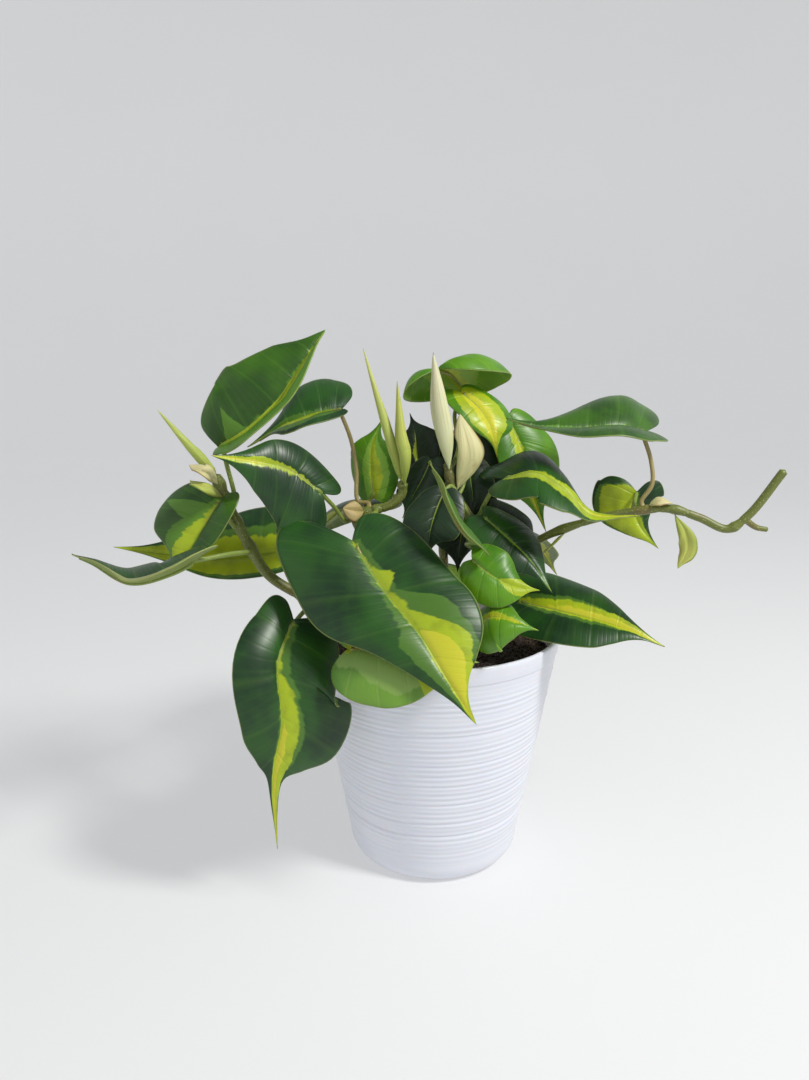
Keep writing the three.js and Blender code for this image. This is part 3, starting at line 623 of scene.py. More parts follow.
def leaf_skin(name, dark, fresh, lime, yellow, pale, gloss, veins_show=0.16):
    """A face of a leaf. Lime, yellow and pale green follow the marks, combed out along the side veins."""
    material, add, join, shader = finish_tree(name, gloss, Specular_IOR_Level=0.35, Coat_Weight=0.12,
                                              Coat_Roughness=0.25, Subsurface_Weight=0.08,
                                              Subsurface_Scale=0.002)
    lie = add("ShaderNodeUVMap", uv_map="veins").outputs["UV"]
    place_on = add("ShaderNodeTexCoord").outputs["Object"]
    painted = add("ShaderNodeAttribute", attribute_name="marks").outputs["Vector"]
    marks = add("ShaderNodeSeparateXYZ", {"Vector": painted})
    comb = add("ShaderNodeMapping", {"Vector": lie, "Scale": (1.6, 30.0, 1.0)}).outputs["Vector"]
    flame = add("ShaderNodeTexNoise", {"Vector": comb, "Scale": 1.0, "Detail": 3.0, "Roughness": 0.55})
    broad = add("ShaderNodeMapping", {"Vector": lie, "Scale": (1.4, 6.0, 1.0)}).outputs["Vector"]
    sway = add("ShaderNodeTexNoise", {"Vector": broad, "Scale": 1.0, "Detail": 2.0}).outputs["Fac"]
    mottle = add("ShaderNodeTexNoise", {"Vector": place_on, "Scale": 150.0, "Detail": 5.0}).outputs["Fac"]
    soft = add("ShaderNodeTexNoise", {"Vector": place_on, "Scale": 42.0, "Detail": 2.0}).outputs["Fac"]

    def math_of(kind, a, b, c=0.0):
        return add("ShaderNodeMath", {0: a, 1: b, 2: c}, operation=kind).outputs[0]

    ragged = math_of("MULTIPLY_ADD", flame.outputs["Fac"], 0.2, -0.1)
    ragged = math_of("MULTIPLY_ADD", sway, 0.24, math_of("ADD", ragged, -0.12))
    edges = {}
    for channel in ("X", "Y", "Z"):
        edges[channel] = ramp(add, math_of("ADD", marks.outputs[channel], ragged), 0.485, 0.535)
    split = add("ShaderNodeSeparateXYZ", {"Vector": lie})
    aside = math_of("ABSOLUTE", math_of("SUBTRACT", split.outputs["X"], 0.5), 0.0)
    vein = math_of("PINGPONG", math_of("MULTIPLY_ADD", split.outputs["Y"], SIDE_VEINS, 0.06), 0.5)
    vein_line = math_of("SUBTRACT", 1.0, ramp(add, vein, 0.0, 0.07))
    fine = math_of("PINGPONG", math_of("MULTIPLY", split.outputs["Y"], SIDE_VEINS * 6.0), 0.5)
    fine_line = math_of("SUBTRACT", 1.0, ramp(add, fine, 0.0, 0.22))
    midrib = math_of("SUBTRACT", 1.0, ramp(add, aside, 0.008, 0.02))
    margin = ramp(add, aside, 0.488, 0.497)

    body = mixed(add, ramp(add, soft, 0.35, 0.7), linear(*dark), linear(*fresh))
    body = mixed(add, math_of("MULTIPLY", ramp(add, mottle, 0.45, 0.75), 0.35), body, linear(*fresh))
    body = mixed(add, math_of("MULTIPLY", edges["Z"], 0.8), body, linear(*pale))
    body = mixed(add, math_of("MULTIPLY", fine_line, 0.05), body, linear(*pale))
    body = mixed(add, math_of("MULTIPLY", vein_line, veins_show), body, linear(*pale))
    bright = mixed(add, ramp(add, mottle, 0.4, 0.8), linear(*lime), linear(*[int(0.86 * c) for c in lime]))
    body = mixed(add, edges["X"], body, bright)
    body = mixed(add, edges["Y"], body, linear(*yellow))
    body = mixed(add, math_of("MULTIPLY", midrib, 0.7), body, linear(*[int(0.9 * c) for c in lime]))
    body = mixed(add, math_of("MULTIPLY", margin, 0.6), body, linear(150, 165, 90))
    join(body, shader.inputs["Base Color"])
    join(mixed(add, mottle, gloss - 0.08, gloss + 0.12, "FLOAT"), shader.inputs["Roughness"])
    height = math_of("MULTIPLY_ADD", mottle, 0.25, math_of("MULTIPLY", vein_line, -0.5))
    height = math_of("MULTIPLY_ADD", fine_line, -0.12, height)
    bump = add("ShaderNodeBump", {"Strength": 0.5, "Distance": 0.0005, "Height": height})
    join(bump.outputs["Normal"], shader.inputs["Normal"])
    return material


LIME = (160, 180, 28)
YELLOW = (192, 192, 46)
OLIVE_LIME = (166, 176, 50)
OLIVE_YELLOW = (190, 190, 72)
dark_skin = leaf_skin("leaf_dark", (18, 50, 22), (36, 82, 22), LIME, YELLOW, (80, 120, 40), 0.36)
mid_skin = leaf_skin("leaf_mid", (36, 74, 14), (62, 108, 18), LIME, YELLOW, (92, 140, 36), 0.36)
# A darker copy of the leaf skin for the leaves deep in the middle of the plant: their own dark green, with
# the shade that they stand in painted into it.
painted_shade_skin = leaf_skin("leaf_painted_shade", (14, 34, 18), (26, 54, 24), LIME, YELLOW, (60, 88, 44), 0.4)
bright_skin = leaf_skin("leaf_bright", (58, 112, 10), (96, 148, 16), LIME, YELLOW, (124, 168, 52), 0.38)
grey_skin = leaf_skin("leaf_grey_green", (80, 126, 40), (110, 154, 52), LIME, YELLOW, (134, 166, 84),
                      0.42, 0.3)
folded_skin = leaf_skin("leaf_folded", (26, 60, 28), (44, 84, 32), LIME, YELLOW, (150, 158, 84), 0.42, 0.1)
under_dark = leaf_skin("leaf_underside", (88, 108, 44), (112, 130, 56), OLIVE_LIME, OLIVE_YELLOW,
                       (134, 150, 80), 0.5, 0.3)
under_fresh = leaf_skin("leaf_underside_fresh", (96, 148, 30), (122, 168, 44), (176, 190, 44),
                        (196, 196, 72), (150, 186, 74), 0.48, 0.4)
petiole_skin = bark("petiole_skin", (126, 146, 60), (112, 128, 58), (140, 128, 66))
brown_petiole = bark("petiole_brown", (150, 136, 82), (128, 108, 64), (160, 140, 90))


def seat_on(stem, share, towards, gap):
    """A point on the side of a stem that looks at another point, and the direction that it looks in."""
    whole, radius = stem
    centre, along = curve_at(whole, share)[0], curve_heading(whole, share)[0]
    outward = np.asarray(towards, float) - centre
    outward -= along * (outward @ along)
    outward /= np.linalg.norm(outward)
    return centre + outward * (radius + gap), outward


NONE = [(0, -0.8, -0.8), (1, -0.8, -0.8)]


def grow_leaf(name, seat, petiole, spine, right, left, skin=dark_skin, lime=NONE, yellow=NONE, pale=NONE,
              outline=HEART, arch=0.1, wave=0.5, waves=2.0, pleat=0.22, stalk=petiole_skin):
    """One leaf. Each mark is a list of (share from base to tip, reach to the left, reach to the right)."""
    blade = make_blade(outline, spine, right, left, arch)
    shift = (sum(ord(letter) for letter in name) % 17) / 17
    relief = {"pleat": pleat, "groove": RIB_GROOVE, "wave": wave, "waves": waves, "shift": shift}
    underside = under_fresh if skin == bright_skin else under_dark
    mesh = blade_mesh(name, blade, (lime, yellow, pale), relief)
    leaf = place(name + "_blade", mesh, skin, underside, stalk)
    skinned = leaf.modifiers.new("thickness", "SOLIDIFY")
    skinned.thickness = BLADE_THICKNESS
    skinned.offset = -0.2
    skinned.material_offset = 1
    skinned.use_quality_normals = True
    baked(leaf)
    end = midrib_frame(blade, 0.04)[0][0]
    stem, share = seat
    first, outward = seat_on(stem, share, petiole[0] if petiole else end, -0.4)
    route = [first, first + outward * 2.9, *np.asarray(petiole, float).reshape(-1, 3), end]
    walk = curve_at(route, np.linspace(0, 1, 12 * len(route)))
    walked = np.linspace(0, 1, len(walk))
    thick = PETIOLE_RADIUS * (1 + 0.45 * np.exp(-walked * 14) - 0.1 * walked)
    rib = np.linspace(0.07, 0.9, 40)
    under = midrib_frame(blade, rib)
    down = half_normal(blade, under, 1) + half_normal(blade, under, -1)
    down /= -np.linalg.norm(down, axis=1)[:, None]
    slim = PETIOLE_RADIUS * (0.9 - RIB_TAPER * rib)
    sunk = curve_at(blade["spine"], rib) + down * (0.35 + 0.25 * slim + RIB_GROOVE * 0.8)[:, None]
    path = to_metres(np.vstack([walk, sunk]))
    radii = np.concatenate([thick, slim]) * 0.001
    petiole_piece = place(name + "_petiole", tube_mesh(name + "_petiole", path, radii, 10), stalk)
    with bpy.context.temp_override(active_object=leaf, selected_editable_objects=[leaf, petiole_piece]):
        bpy.ops.object.join()
    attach(leaf, "root")
    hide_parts(name)


# Leaves of the left vine.
grow_leaf("leaf_left_top", (left_vine, 0.86), [[-98, -28, 88]],
          [[-101, -30, 96], [-87, -34, 103], [-72, -32, 116], [-60, -26, 135], [-51, -20, 149]],
          [-66, -44, 116], [-98, -22, 132], mid_skin, outline=OVATE, pleat=0.4, wave=0.8,
          lime=[(0, 0.02, 0.2), (0.3, 0.03, 0.3), (0.5, 0.03, 0.55), (0.75, 0.04, 0.7), (1, 0.1, 0.7)],
          pale=[(0, 0.02, 0.8), (0.26, 0.03, 1.1), (0.34, 0.6, 1.1), (0.42, 0.06, 1.1), (1, 0.1, 1.1)])
grow_leaf("leaf_left_mid", (left_vine, 0.78), [],
          [[-98, -42, 73], [-105, -46, 62], [-113, -50, 49], [-123, -50, 38]],
          [-129, -36, 67], [-94, -54, 61], mid_skin,
          lime=[(0, 0.03, 0.03), (0.4, 0.05, 0.1), (0.6, 0.1, 0.35), (0.75, 0.15, 0.7), (1, 0.5, 1)],
          pale=[(0, 0.1, 0.1), (0.3, 0.1, 0.2), (0.38, 0.1, 0.95), (0.46, 0.1, 0.4), (0.7, 0.3, 0.9),
                (1, 0.7, 1)])
grow_leaf("leaf_left_folded", (left_vine, 0.68), [[-90, -56, 51]],
          [[-102, -70, 52], [-112, -74, 47], [-131, -72, 42], [-149, -66, 49], [-162, -58, 51]],
          [-126, -58, 47], [-115, -86, 49], folded_skin,
          pale=[(0, 0.9, -0.3), (0.5, 1.2, -0.3), (1, 1.2, 0.1)])
grow_leaf("leaf_left_lime", (left_vine, 0.42), [],
          [[-68, -6, 43], [-86, -10, 40], [-109, -16, 39], [-134, -22, 43], [-156, -26, 47]],
          [-93, 8, 60], [-93, -20, 30], dark_skin,
          lime=[(0, 0.5, 0.1), (0.35, 0.8, 0.3), (0.6, 0.85, 0.5), (1, 0.9, 0.8)],
          pale=[(0, 0.7, 0.3), (0.5, 0.95, 0.6), (1, 1, 0.9)])
grow_leaf("leaf_left_hanging", (left_vine, 0.22), [[-57, -42, 22]],
          [[-64, -54, 20], [-69, -68, 4], [-67, -74, -20], [-72, -74, -50], [-73, -66, -89]],
          [-86, -80, -9], [-38, -59, -19], dark_skin, outline=LONG_TIPPED_HEART, pleat=0.3, wave=0.7,
          lime=[(0, 0.03, 0.02), (0.38, 0.06, 0.03), (0.5, 0.2, 0.04), (0.6, 0.34, 0.06), (0.7, 0.6, 0.12),
                (0.8, 0.9, 0.4), (1, 1, 0.9)],
          yellow=[(0, -0.5, -0.5), (0.45, -0.2, -0.3), (0.6, 0.14, -0.2), (0.8, 0.4, 0), (1, 0.7, 0.4)],
          pale=[(0, 0.04, 0.04), (0.5, 0.24, 0.06), (0.7, 0.66, 0.2), (1, 1, 1)])

# Leaves of the stem in the middle.
grow_leaf("leaf_left_back", (centre_stem, 0.6), [[-38, -8, 67], [-39, -4, 82], [-42, 0, 97]],
          [[-46, 0, 112], [-58, -4, 110], [-73, -8, 105], [-92, -10, 94]],
          [-63, 14, 125], [-66, -18, 103], dark_skin, pleat=0.3, stalk=brown_petiole,
          lime=[(0, 0.03, 0.02), (0.35, 0.1, 0.02), (0.5, 0.45, 0.03), (0.7, 0.6, 0.04), (0.85, 0.3, 0.1),
                (1, 0.5, 0.3)],
          pale=[(0, 0.2, 0.05), (0.5, 0.8, 0.1), (1, 1, 0.5)])
grow_leaf("leaf_left_glossy", (centre_stem, 0.5), [[-43, -20, 59], [-48, -28, 68]],
          [[-52, -35, 75], [-66, -41, 87], [-81, -50, 92], [-97, -57, 95]],
          [-62, -31, 96], [-72, -46, 59], dark_skin, pleat=0.4, wave=1.0,
          lime=[(0, 0.04, 0.04), (0.4, 0.06, 0.08), (0.55, 0.1, 0.14), (0.66, 0.14, 0.34), (0.76, 0.2, 0.3),
                (1, 0.8, 0.8)],
          yellow=[(0, -0.5, -0.5), (0.5, -0.05, 0.0), (1, 0.3, 0.3)])
grow_leaf("leaf_front_large", (centre_stem, 0.64), [[-33, -36, 61]],
          [[-37, -50, 56], [-21, -64, 36], [-6, -76, 21], [6, -86, 4], [18, -90, -14]],
          [-55, -70, 26], [14, -62, 38], dark_skin, pleat=0.3, wave=0.6,
          lime=[(0, 0.04, 0.03), (0.28, 0.05, 0.03), (0.34, 0.12, 0.03), (0.365, 0.32, 0.03),
                (0.4, 0.1, 0.03), (0.5, 0.12, 0.04), (0.55, 0.36, 0.05), (0.6, 0.8, 0.06),
                (0.66, 0.88, 0.08), (0.76, 1.1, 0.1), (0.9, 1.1, 0.25), (1, 1, 1)],
          yellow=[(0, -0.6, -0.6), (0.55, -0.3, -0.4), (0.62, 0.5, -0.1), (0.7, 0.8, 0), (0.85, 0.9, 0.05),
                  (1, 0.5, 0.2)],
          pale=[(0, 0.1, 0.1), (0.42, 0.2, 0.1), (0.48, 0.62, 0.14), (0.56, 0.76, 0.2), (0.64, 1, 0.5),
                (0.8, 1, 0.6), (1, 1, 0.6)])
grow_leaf("leaf_front_low", (centre_stem, 0.12), [[-32, -44, 16]],
          [[-38, -68, 11], [-25, -71, 12], [-10, -73, 11], [8, -71, 9], [20, -67, 5]],
          [-21, -83, -10], [-22, -46, 21], grey_skin, wave=0.6,
          lime=[(0, 0.2, 0.3), (0.22, 0.2, 0.1), (0.34, 0.1, -0.2), (0.58, 0.1, -0.3), (0.62, 0.1, 1.1),
                (0.74, 0.1, 1.1), (0.8, 0.1, -0.1), (1, 0.1, 0.1)],
          pale=[(0, 0.3, 0.9), (0.3, 0.4, 0.4), (0.5, 0.4, 0.8), (1, 0.6, 0.6)])
grow_leaf("leaf_centre_upright", (centre_stem, 0.57), [],
          [[-31, 1, 67], [-32, 2, 79], [-32, 3, 93], [-26, 8, 108]],
          [-18, 4, 87], [-43, 8, 86], bright_skin,
          lime=[(0, 0.05, 0.15), (0.4, 0.1, 0.4), (0.7, 0.1, 0.3), (1, 0.1, 0.1)],
          pale=[(0, 0.4, 0.7), (1, 0.3, 0.5)])

# Leaves of the tall stem.
grow_leaf("leaf_centre_shaded", (tall_stem, 0.74), [],
          [[-2, -4, 87], [-6, -4, 78], [-11, -5, 69], [-16, -6, 58]],
          [-18, 0, 73], [3, -6, 72], painted_shade_skin)
grow_leaf("leaf_centre_low", (tall_stem, 0.63), [[8, -18, 76]],
          [[5, -21, 75], [1, -25, 66], [-2, -29, 56], [-3, -31, 43]],
          [-15, -28, 60], [12, -31, 56], painted_shade_skin)
grow_leaf("leaf_centre_under", (tall_stem, 0.45), [[21, 4, 52]],
          [[16, 9, 64], [15, 7, 54], [13, 4, 42], [12, 2, 28]],
          [-4, 8, 50], [34, 8, 54], painted_shade_skin)
grow_leaf("leaf_centre_dark", (tall_stem, 0.8), [],
          [[17, 1, 85], [18, -2, 76], [19, -4, 67], [17, -7, 58]],
          [10, 2, 74], [30, 0, 74], painted_shade_skin)
grow_leaf("leaf_edge_on", (tall_stem, 0.47), [[15, -38, 52]],
          [[20, -50, 54], [12, -54, 63], [6, -54, 74], [2, -52, 84], [-2, -48, 91]],
          [8, -44, 71], [10, -66, 69], dark_skin, pale=[(0, 1.1, 1.1), (1, 1.1, 1.1)])
grow_leaf("leaf_top_umbrella", (tall_stem, 1), [[5, -5, 102], [3, -3, 119]],
          [[1, 0, 131], [7, 14, 129], [15, 26, 121], [21, 34, 111]],
          [38, 12, 128], [-12, 10, 115], bright_skin, arch=0.3, pleat=0.4,
          lime=[(0, 0.05, 0.05), (0.5, 0.1, 0.1), (1, 0.3, 0.3)], pale=[(0, 0.4, 0.4), (1, 0.5, 0.5)])
grow_leaf("leaf_centre_yellow", (tall_stem, 0.97), [[12, 3, 93], [10, 9, 109]],
          [[13, 6, 120], [23, 1, 111], [28, -4, 101], [31, -4, 88]],
          [14, -6, 106], [37, 8, 110], bright_skin,
          lime=[(0, 0.5, 0.5), (0.5, 0.72, 0.8), (1, 0.9, 0.9)],
          yellow=[(0, 0.1, 0.1), (0.5, 0.3, 0.4), (1, 0.5, 0.5)])
grow_leaf("leaf_right_wavy", (tall_stem, 0.62), [[24, -14, 66], [28, -17, 74]],
          [[33, -20, 80], [47, -26, 84], [60, -32, 77], [72, -36, 66], [93, -40, 66]],
          [47, -48, 74], [50, -6, 90], dark_skin, wave=1.4, waves=1.5,
          lime=[(0, 0.03, 0.08), (0.4, 0.05, 0.38), (0.55, 0.12, 0.5), (0.7, 0.4, 0.8), (0.85, 0.8, 1),
                (1, 1, 1)],
          yellow=[(0, -0.6, -0.6), (0.5, -0.2, 0.0), (0.8, 0.2, 0.4), (1, 0.3, 0.5)])
grow_leaf("leaf_right_dark", (tall_stem, 0.52), [],
          [[23, -26, 63], [33, -32, 55], [45, -38, 44], [54, -46, 31]],
          [24, -38, 43], [46, -22, 55], dark_skin, pleat=0.5,
          pale=[(0, 0.05, 0.05), (0.8, 0.1, 0.1), (0.92, 0.9, 0.9), (1, 1, 1)])
grow_leaf("leaf_right_shaded", (tall_stem, 0.56), [],
          [[28, -8, 63], [36, -10, 58], [45, -14, 51], [52, -16, 42]],
          [34, -16, 50], [43, 0, 61], painted_shade_skin)
grow_leaf("leaf_right_curled", (tall_stem, 0.38), [[16, -34, 39]],
          [[17, -48, 47], [24, -53, 42], [35, -56, 37], [47, -56, 35]],
          [21, -58, 29], [33, -46, 49], bright_skin, wave=1.2,
          lime=[(0, 0.03, 0.03), (0.58, 0.04, 0.04), (0.68, 0.4, 0.5), (0.78, 1, 1), (1, 1, 1)])
grow_leaf("leaf_rim_rolled", (tall_stem, 0.2), [[16, -40, 15]],
          [[18, -54, 18], [26, -60, 24], [36, -64, 23], [46, -64, 19]],
          [30, -66, 10], [32, -46, 26], bright_skin, arch=0.25,
          lime=[(0, 0.03, 0.03), (0.3, 0.12, 0.1), (0.8, 0.16, 0.14), (1, 0.12, 0.12)],
          yellow=[(0, -0.2, -0.2), (0.4, 0.06, 0.05), (0.8, 0.1, 0.08), (1, 0, 0)])

# Leaves of the right vine.
grow_leaf("leaf_right_low", (right_vine, 0.12), [[38, -6, 16]],
          [[42, -16, 18], [59, -26, 17], [79, -34, 14], [93, -40, 11], [107, -44, 5]],
          [57, -42, 5], [65, -6, 28], dark_skin, wave=0.8,
          lime=[(0, 0.06, 0.05), (0.35, 0.2, 0.1), (0.6, 0.34, 0.16), (0.8, 0.6, 0.3), (1, 0.9, 0.9)],
          yellow=[(0, -0.3, -0.3), (0.4, 0.1, 0), (0.7, 0.25, 0.1), (1, 0.4, 0.4)],
          pale=[(0, 0.2, 0.1), (1, 0.5, 0.4)])
grow_leaf("leaf_back_hanging", (right_vine, 0.18), [[35, 30, 94]],
          [[38, 26, 106], [45, 22, 91], [50, 16, 70], [58, 10, 48]],
          [34, 14, 80], [66, 28, 83], bright_skin,
          lime=[(0, 0.05, 0.1), (0.4, 0.05, 0.3), (0.7, 0.1, 0.5), (1, 0.5, 0.8)],
          yellow=[(0, -0.4, -0.1), (0.5, -0.3, 0.12), (0.8, -0.1, 0.35), (1, 0, 0.5)])
grow_leaf("leaf_right_top", (right_vine, 0.54), [[105, -12, 76], [105, -8, 87]],
          [[102, -6, 101], [88, -12, 104], [69, -14, 103], [50, -14, 104], [34, -12, 108]],
          [89, 12, 117], [80, -34, 102], mid_skin, wave=0.7, stalk=brown_petiole,
          lime=[(0, 0.02, 0.02), (1, 0.05, 0.05)], pale=[(0, 0.15, 0.05), (0.5, 0.3, 0.06), (1, 0.5, 0.3)])
grow_leaf("leaf_right_node", (right_vine, 0.52), [],
          [[102, 4, 70], [101, 4, 63], [104, 2, 53], [113, -2, 42]],
          [81, 10, 66], [115, 6, 68], dark_skin,
          lime=[(0, -0.1, 0.3), (0.3, 0.02, 0.75), (0.5, 0.1, 0.85), (0.75, 0.35, 0.95), (1, 0.6, 1)],
          pale=[(0, 0.1, 0.5), (0.5, 0.2, 1), (1, 0.7, 1)])

# Leaves of the stem at the back.
grow_leaf("leaf_centre_small", (back_stem, 0.9), [[-8, 28, 70]],
          [[-7, 8, 78], [-9, 10, 88], [-10, 12, 98], [-13, 16, 109]],
          [2, 8, 97], [-19, 14, 92], painted_shade_skin, lime=[(0, 0.1, -0.2), (0.5, 0.2, -0.2), (1, 0, 0)])
grow_leaf("leaf_centre_back", (back_stem, 0.75), [[4, 30, 66]],
          [[14, 25, 94], [11, 24, 76], [8, 21, 55], [6, 16, 31]],
          [-3, 23, 69], [38, 25, 74], painted_shade_skin)
grow_leaf("leaf_back_left", (back_stem, 0.8), [[-16, 50, 60]],
          [[-30, 56, 58], [-48, 66, 54], [-66, 76, 40], [-80, 84, 22]],
          [-40, 84, 44], [-62, 48, 50], dark_skin,
          lime=[(0, 0.08, 0.06), (0.5, 0.3, 0.1), (0.8, 0.6, 0.2), (1, 0.8, 0.5)],
          pale=[(0, 0.3, 0.2), (1, 0.8, 0.6)])
grow_leaf("leaf_back_right", (back_stem, 0.6), [[16, 48, 40]],
          [[30, 54, 42], [48, 64, 38], [64, 74, 24], [76, 84, 6]],
          [66, 46, 34], [38, 84, 26], dark_skin,
          lime=[(0, 0.06, 0.1), (0.5, 0.1, 0.4), (0.8, 0.2, 0.6), (1, 0.5, 0.8)],
          yellow=[(0, -0.5, -0.5), (0.6, -0.2, 0.15), (1, 0, 0.3)])
grow_leaf("leaf_back_low", (back_stem, 0.3), [[4, 52, 14]],
          [[2, 70, 16], [0, 82, 8], [-2, 87, -12], [-4, 84, -34]],
          [28, 78, -2], [-30, 78, 0], bright_skin,
          lime=[(0, 0.2, 0.1), (0.5, 0.3, 0.2), (1, 0.6, 0.5)], pale=[(0, 0.5, 0.5), (1, 0.8, 0.8)])
grow_leaf("leaf_back_top", (back_stem, 0.97), [],
          [[-6, 54, 74], [0, 66, 82], [8, 80, 80], [14, 90, 70]],
          [26, 60, 76], [-18, 84, 76], dark_skin,
          lime=[(0, 0.05, 0.05), (0.5, 0.2, 0.1), (1, 0.5, 0.4)])

# ---------------------------------------------------------------- sheaths and new leaves
# Each leaf grew out of a papery sheath that dries beside its node, cream or pale green with fine lengthwise
# fibres. Two new leaves still stand rolled up as spikes on the growing ends of their stems.

LANCE = ([
    [0, 0, 0], [0.25, 0.05, 0.04], [0.75, 0.17, 0.15], [1, 0.35, 0.35],
    [0.8, 0.6, 0.6], [0.4, 0.82, 0.82], [0, 1, 1]], 0.35)
SHEATH_THICKNESS = 0.00035
SHEATH_ROWS = 30
SHEATH_STEPS = 9


def papery(name, foot_tone, tip_tone, edge_tone, uv_map="veins"):
    """Dry papery sheath skin with lengthwise fibres and a darker edge."""
    material, add, join, shader = finish_tree(name, 0.55, Subsurface_Weight=0.15, Subsurface_Scale=0.002)
    lie = add("ShaderNodeUVMap", uv_map=uv_map).outputs["UV"]
    split = add("ShaderNodeSeparateXYZ", {"Vector": lie})
    fibres = add("ShaderNodeMapping", {"Vector": lie, "Scale": (44.0, 2.0, 1.0)}).outputs["Vector"]
    fibre = add("ShaderNodeTexNoise", {"Vector": fibres, "Scale": 1.0, "Detail": 3.0}).outputs["Fac"]
    patch = add("ShaderNodeTexNoise", {"Vector": add("ShaderNodeTexCoord").outputs["Object"], "Scale": 120.0,
                                       "Detail": 3.0}).outputs["Fac"]
    aside = add("ShaderNodeMath", {0: split.outputs["X"], 1: 0.5}, operation="SUBTRACT").outputs[0]
    aside = add("ShaderNodeMath", {0: aside}, operation="ABSOLUTE").outputs[0]
    tone = mixed(add, ramp(add, split.outputs["Y"], 0.05, 0.9), linear(*foot_tone), linear(*tip_tone))
    tone = mixed(add, ramp(add, fibre, 0.5, 0.8), tone, linear(*[int(c * 0.72) for c in foot_tone]))
    tone = mixed(add, ramp(add, patch, 0.6, 0.8), tone, linear(*edge_tone))
    join(mixed(add, ramp(add, aside, 0.4, 0.5), tone, linear(*edge_tone)), shader.inputs["Base Color"])
    join(mixed(add, fibre, 0.45, 0.65, "FLOAT"), shader.inputs["Roughness"])
    bump = add("ShaderNodeBump", {"Strength": 0.4, "Distance": 0.0004, "Height": fibre})
    join(bump.outputs["Normal"], shader.inputs["Normal"])
    return material


cream_paper = papery("sheath_cream", (196, 196, 134), (210, 202, 152), (150, 128, 80))
green_paper = papery("sheath_green", (150, 170, 70), (188, 196, 96), (120, 140, 60))
white_paper = papery("sheath_white", (196, 204, 148), (214, 210, 172), (150, 140, 88))
tan_paper = papery("sheath_tan", (172, 160, 100), (186, 166, 112), (126, 100, 58))


def grow_sheath(name, seat, points, right, left, paper):
    """One sheath, from its seat on a stem through its points, folded along its middle."""
    stem, share = seat
    foot, _ = seat_on(stem, share, points[0], 0.5)
    blade = make_blade(LANCE, [foot, *points], right, left, 0.22)
    relief = {"pleat": 0.05, "groove": 0.2, "wave": 0.25, "waves": 2.0, "shift": 0.3}
    mesh = blade_mesh(name, blade, (NONE, NONE, NONE), relief, SHEATH_ROWS, SHEATH_STEPS)
    sheath = place(name + "_skin", mesh, paper)
    skinned = sheath.modifiers.new("thickness", "SOLIDIFY")
    skinned.thickness = SHEATH_THICKNESS
    skinned.offset = 0.0
    baked(sheath)
    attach(sheath, "root")
    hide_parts(name)


grow_sheath("sheath_centre_white", (centre_stem, 0.96), [[-14, -18, 90], [-16, -17, 103], [-18, -15, 126]],
            [-12, -14, 95], [-18, -14, 95], green_paper)
grow_sheath("sheath_tall_front", (tall_stem, 0.97), [[5, -17, 98], [2, -17, 117], [-1, -14, 139]],
            [8, -12, 107], [-1, -12, 107], white_paper)
grow_sheath("sheath_tall_papery", (tall_stem, 0.84), [[16, -14, 90], [12, -10, 110]],
            [24, -10, 91], [11, -12, 96], cream_paper)
grow_sheath("sheath_tall_green", (tall_stem, 0.98), [[6, 7, 98], [3, 8, 110]],
            [8, 10, 99], [3, 9, 99], green_paper)
grow_sheath("sheath_left_cream", (left_vine, 0.97), [[-101, -52, 87], [-109, -50, 90]],
            [-101, -48, 90], [-101, -55, 85], cream_paper)
grow_sheath("sheath_left_lime", (left_vine, 0.9), [[-101, -54, 81], [-109, -50, 83]],
            [-102, -50, 82], [-101, -58, 79], green_paper)
grow_sheath("sheath_centre_tan", (centre_stem, 0.57), [[-38, -20, 64], [-44, -23, 66]],
            [-39, -19, 69], [-39, -22, 59], tan_paper)
grow_sheath("sheath_right_cream", (right_vine, 0.555), [[108, -17, 69], [114, -18, 68]],
            [107, -20, 67], [107, -14, 70], cream_paper)
grow_sheath("sheath_right_hanging", (right_vine, 0.62), [[120, -20, 55], [122, -20, 46], [118, -19, 36]],
            [118, -18, 48], [126, -21, 48], green_paper)
grow_sheath("sheath_right_base", (right_vine, 0.36), [[60, -3, 44], [53, -3, 38]],
            [61, 1, 44], [61, -6, 46], green_paper)

SPIKE_RINGS = 60
SPIKE_SIDES = 28
SPIKE_GIRTH = ((0, 0), (0.02, 0.4), (0.08, 0.8), (0.25, 1), (0.45, 0.85), (0.7, 0.5), (0.92, 0.2), (1, 0.03))
spike_skin = papery("new_leaf_skin", (170, 186, 84), (206, 208, 132), (196, 196, 96), "lie")


def grow_spike(name, stem, tip, girth):
    """A leaf still rolled round itself: a slender spindle with the rolled edge winding up it."""
    whole, _ = stem
    foot = curve_at(whole, 1.0)[0] + curve_heading(whole, 1.0)[0] * 0.3
    shares = np.linspace(0, 1, SPIKE_RINGS)
    radii = girth * np.interp(shares, [g[0] for g in SPIKE_GIRTH], [g[1] for g in SPIKE_GIRTH])
    path = foot + (np.asarray(tip, float) - foot) * shares[:, None]
    mesh = tube_mesh(name, to_metres(path), radii * 0.001, SPIKE_SIDES)
    for index in range(SPIKE_RINGS * SPIKE_SIDES):
        ring, corner = divmod(index, SPIKE_SIDES)
        rolled = ((corner / SPIKE_SIDES + 0.9 * shares[ring]) % 1.0) - 0.5
        centre = to_metres(path[ring])
        vertex = mesh.vertices[index]
        vertex.co = centre + (np.array(vertex.co) - centre) * (1 + 0.22 * rolled)
    spike = place(name + "_spike", mesh, spike_skin)
    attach(spike, "root")
    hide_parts(name)


grow_spike("new_leaf_left", left_vine, [-123, -46, 114], 2.4)
grow_spike("new_leaf_centre", centre_stem, [-34, -14, 141], 2.6)

# ---------------------------------------------------------------- floor, light and camera
# A plain pale floor that sweeps up into a round wall, so that no edge shows behind the plant. One soft key
# light stands on the right in front, a wide weak one on the left, and a pale sky lights the rest.

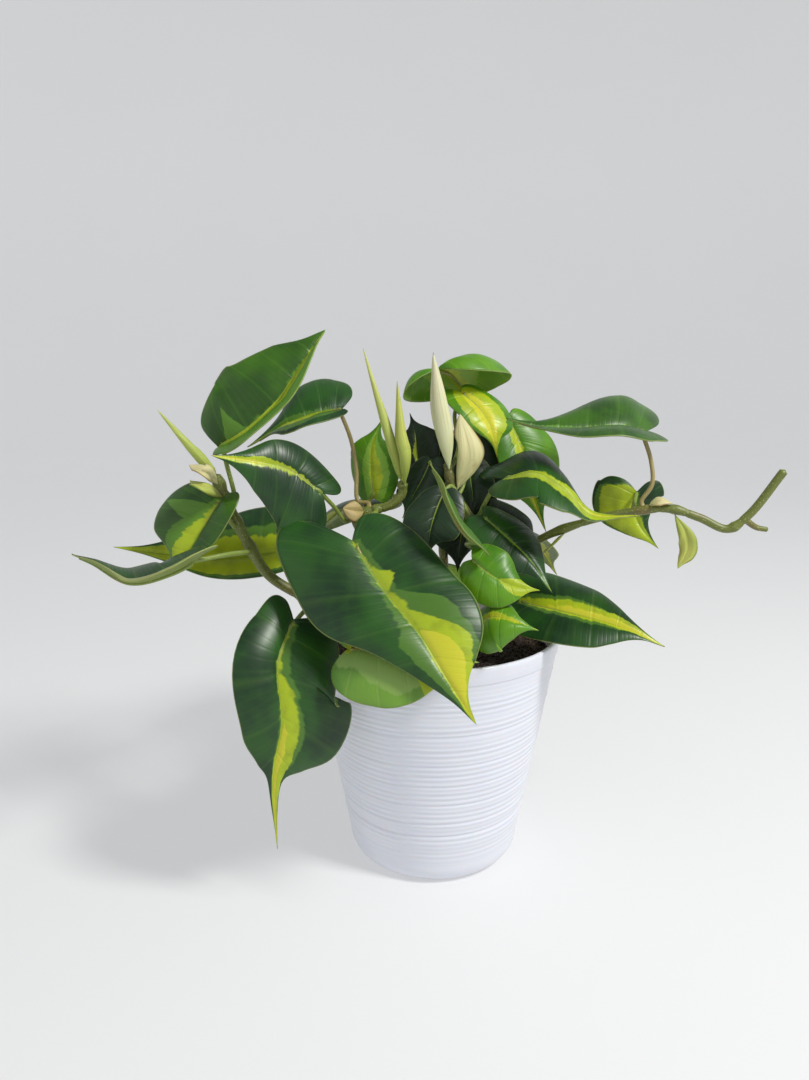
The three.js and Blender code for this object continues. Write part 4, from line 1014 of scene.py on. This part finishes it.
BACKDROP_SIDES = 96
bend = np.linspace(0, math.pi / 2, 16)
sweep = [(0.0, -0.0002)] + [(2.0 + math.sin(turn), 0.9998 - math.cos(turn)) for turn in bend] + [(3.05, 2.6)]
backdrop_mesh = bpy.data.meshes.new("backdrop")
corners, panels = [(0.0, 0.0, -0.0002)], []
for radius, height in sweep[1:]:
    for i in range(BACKDROP_SIDES):
        turn = 2 * math.pi * i / BACKDROP_SIDES
        corners.append((radius * math.cos(turn), radius * math.sin(turn), height))
for i in range(BACKDROP_SIDES):
    j = (i + 1) % BACKDROP_SIDES
    panels.append((0, 1 + i, 1 + j))
    for ring in range(len(sweep) - 2):
        low, high = 1 + ring * BACKDROP_SIDES, 1 + (ring + 1) * BACKDROP_SIDES
        panels.append((low + i, high + i, high + j, low + j))
backdrop_mesh.from_pydata(corners, [], panels)
backdrop_mesh.shade_smooth()
backdrop_paint, add, join, shader = finish_tree("backdrop_paint", 0.9, Emission_Color=(1.0, 1.0, 1.0, 1.0),
                                                Emission_Strength=0.34)
whole_floor = add("ShaderNodeTexCoord").outputs["Object"]
speck = add("ShaderNodeTexNoise", {"Vector": whole_floor, "Scale": 3.0}).outputs["Fac"]
join(mixed(add, speck, linear(186, 187, 189), linear(190, 191, 192)), shader.inputs["Base Color"])
backdrop = place("backdrop", backdrop_mesh, backdrop_paint)

world = bpy.data.worlds.new("pale_sky")
bpy.context.scene.world = world
world.use_nodes = True
world.node_tree.nodes["Background"].inputs["Color"].default_value = (0.93, 0.96, 1.0, 1.0)
world.node_tree.nodes["Background"].inputs["Strength"].default_value = 0.34


def soft_light(name, where, towards, size, power, tint):
    """A square soft light at a place, turned towards a point."""
    lamp = bpy.data.lights.new(name, "AREA")
    lamp.shape = "SQUARE"
    lamp.size = size
    lamp.energy = power
    lamp.color = tint
    light = bpy.data.objects.new(name, lamp)
    bpy.context.collection.objects.link(light)
    light.location = where
    aim = light.location.copy()
    aim.xyz = towards
    light.rotation_euler = (aim - light.location).to_track_quat("-Z", "Y").to_euler()


soft_light("key", (0.62, -0.42, 0.95), (0.0, 0.0, 0.12), 0.2, 10.0, (1.0, 0.98, 0.94))
soft_light("fill", (-0.9, -0.8, 0.7), (0.0, 0.0, 0.13), 1.2, 0.8, (0.93, 0.96, 1.0))

view = bpy.data.cameras.new("view")
view.lens = 27.03
view.sensor_width = 36.0
camera = bpy.data.objects.new("view", view)
bpy.context.collection.objects.link(camera)
camera.location = (0.0, -0.4053, 0.255)
camera.rotation_euler = (math.radians(90 - 12.17), math.radians(0.19), math.radians(2.12))
bpy.context.scene.camera = camera
bpy.context.scene.view_settings.view_transform = "Standard"
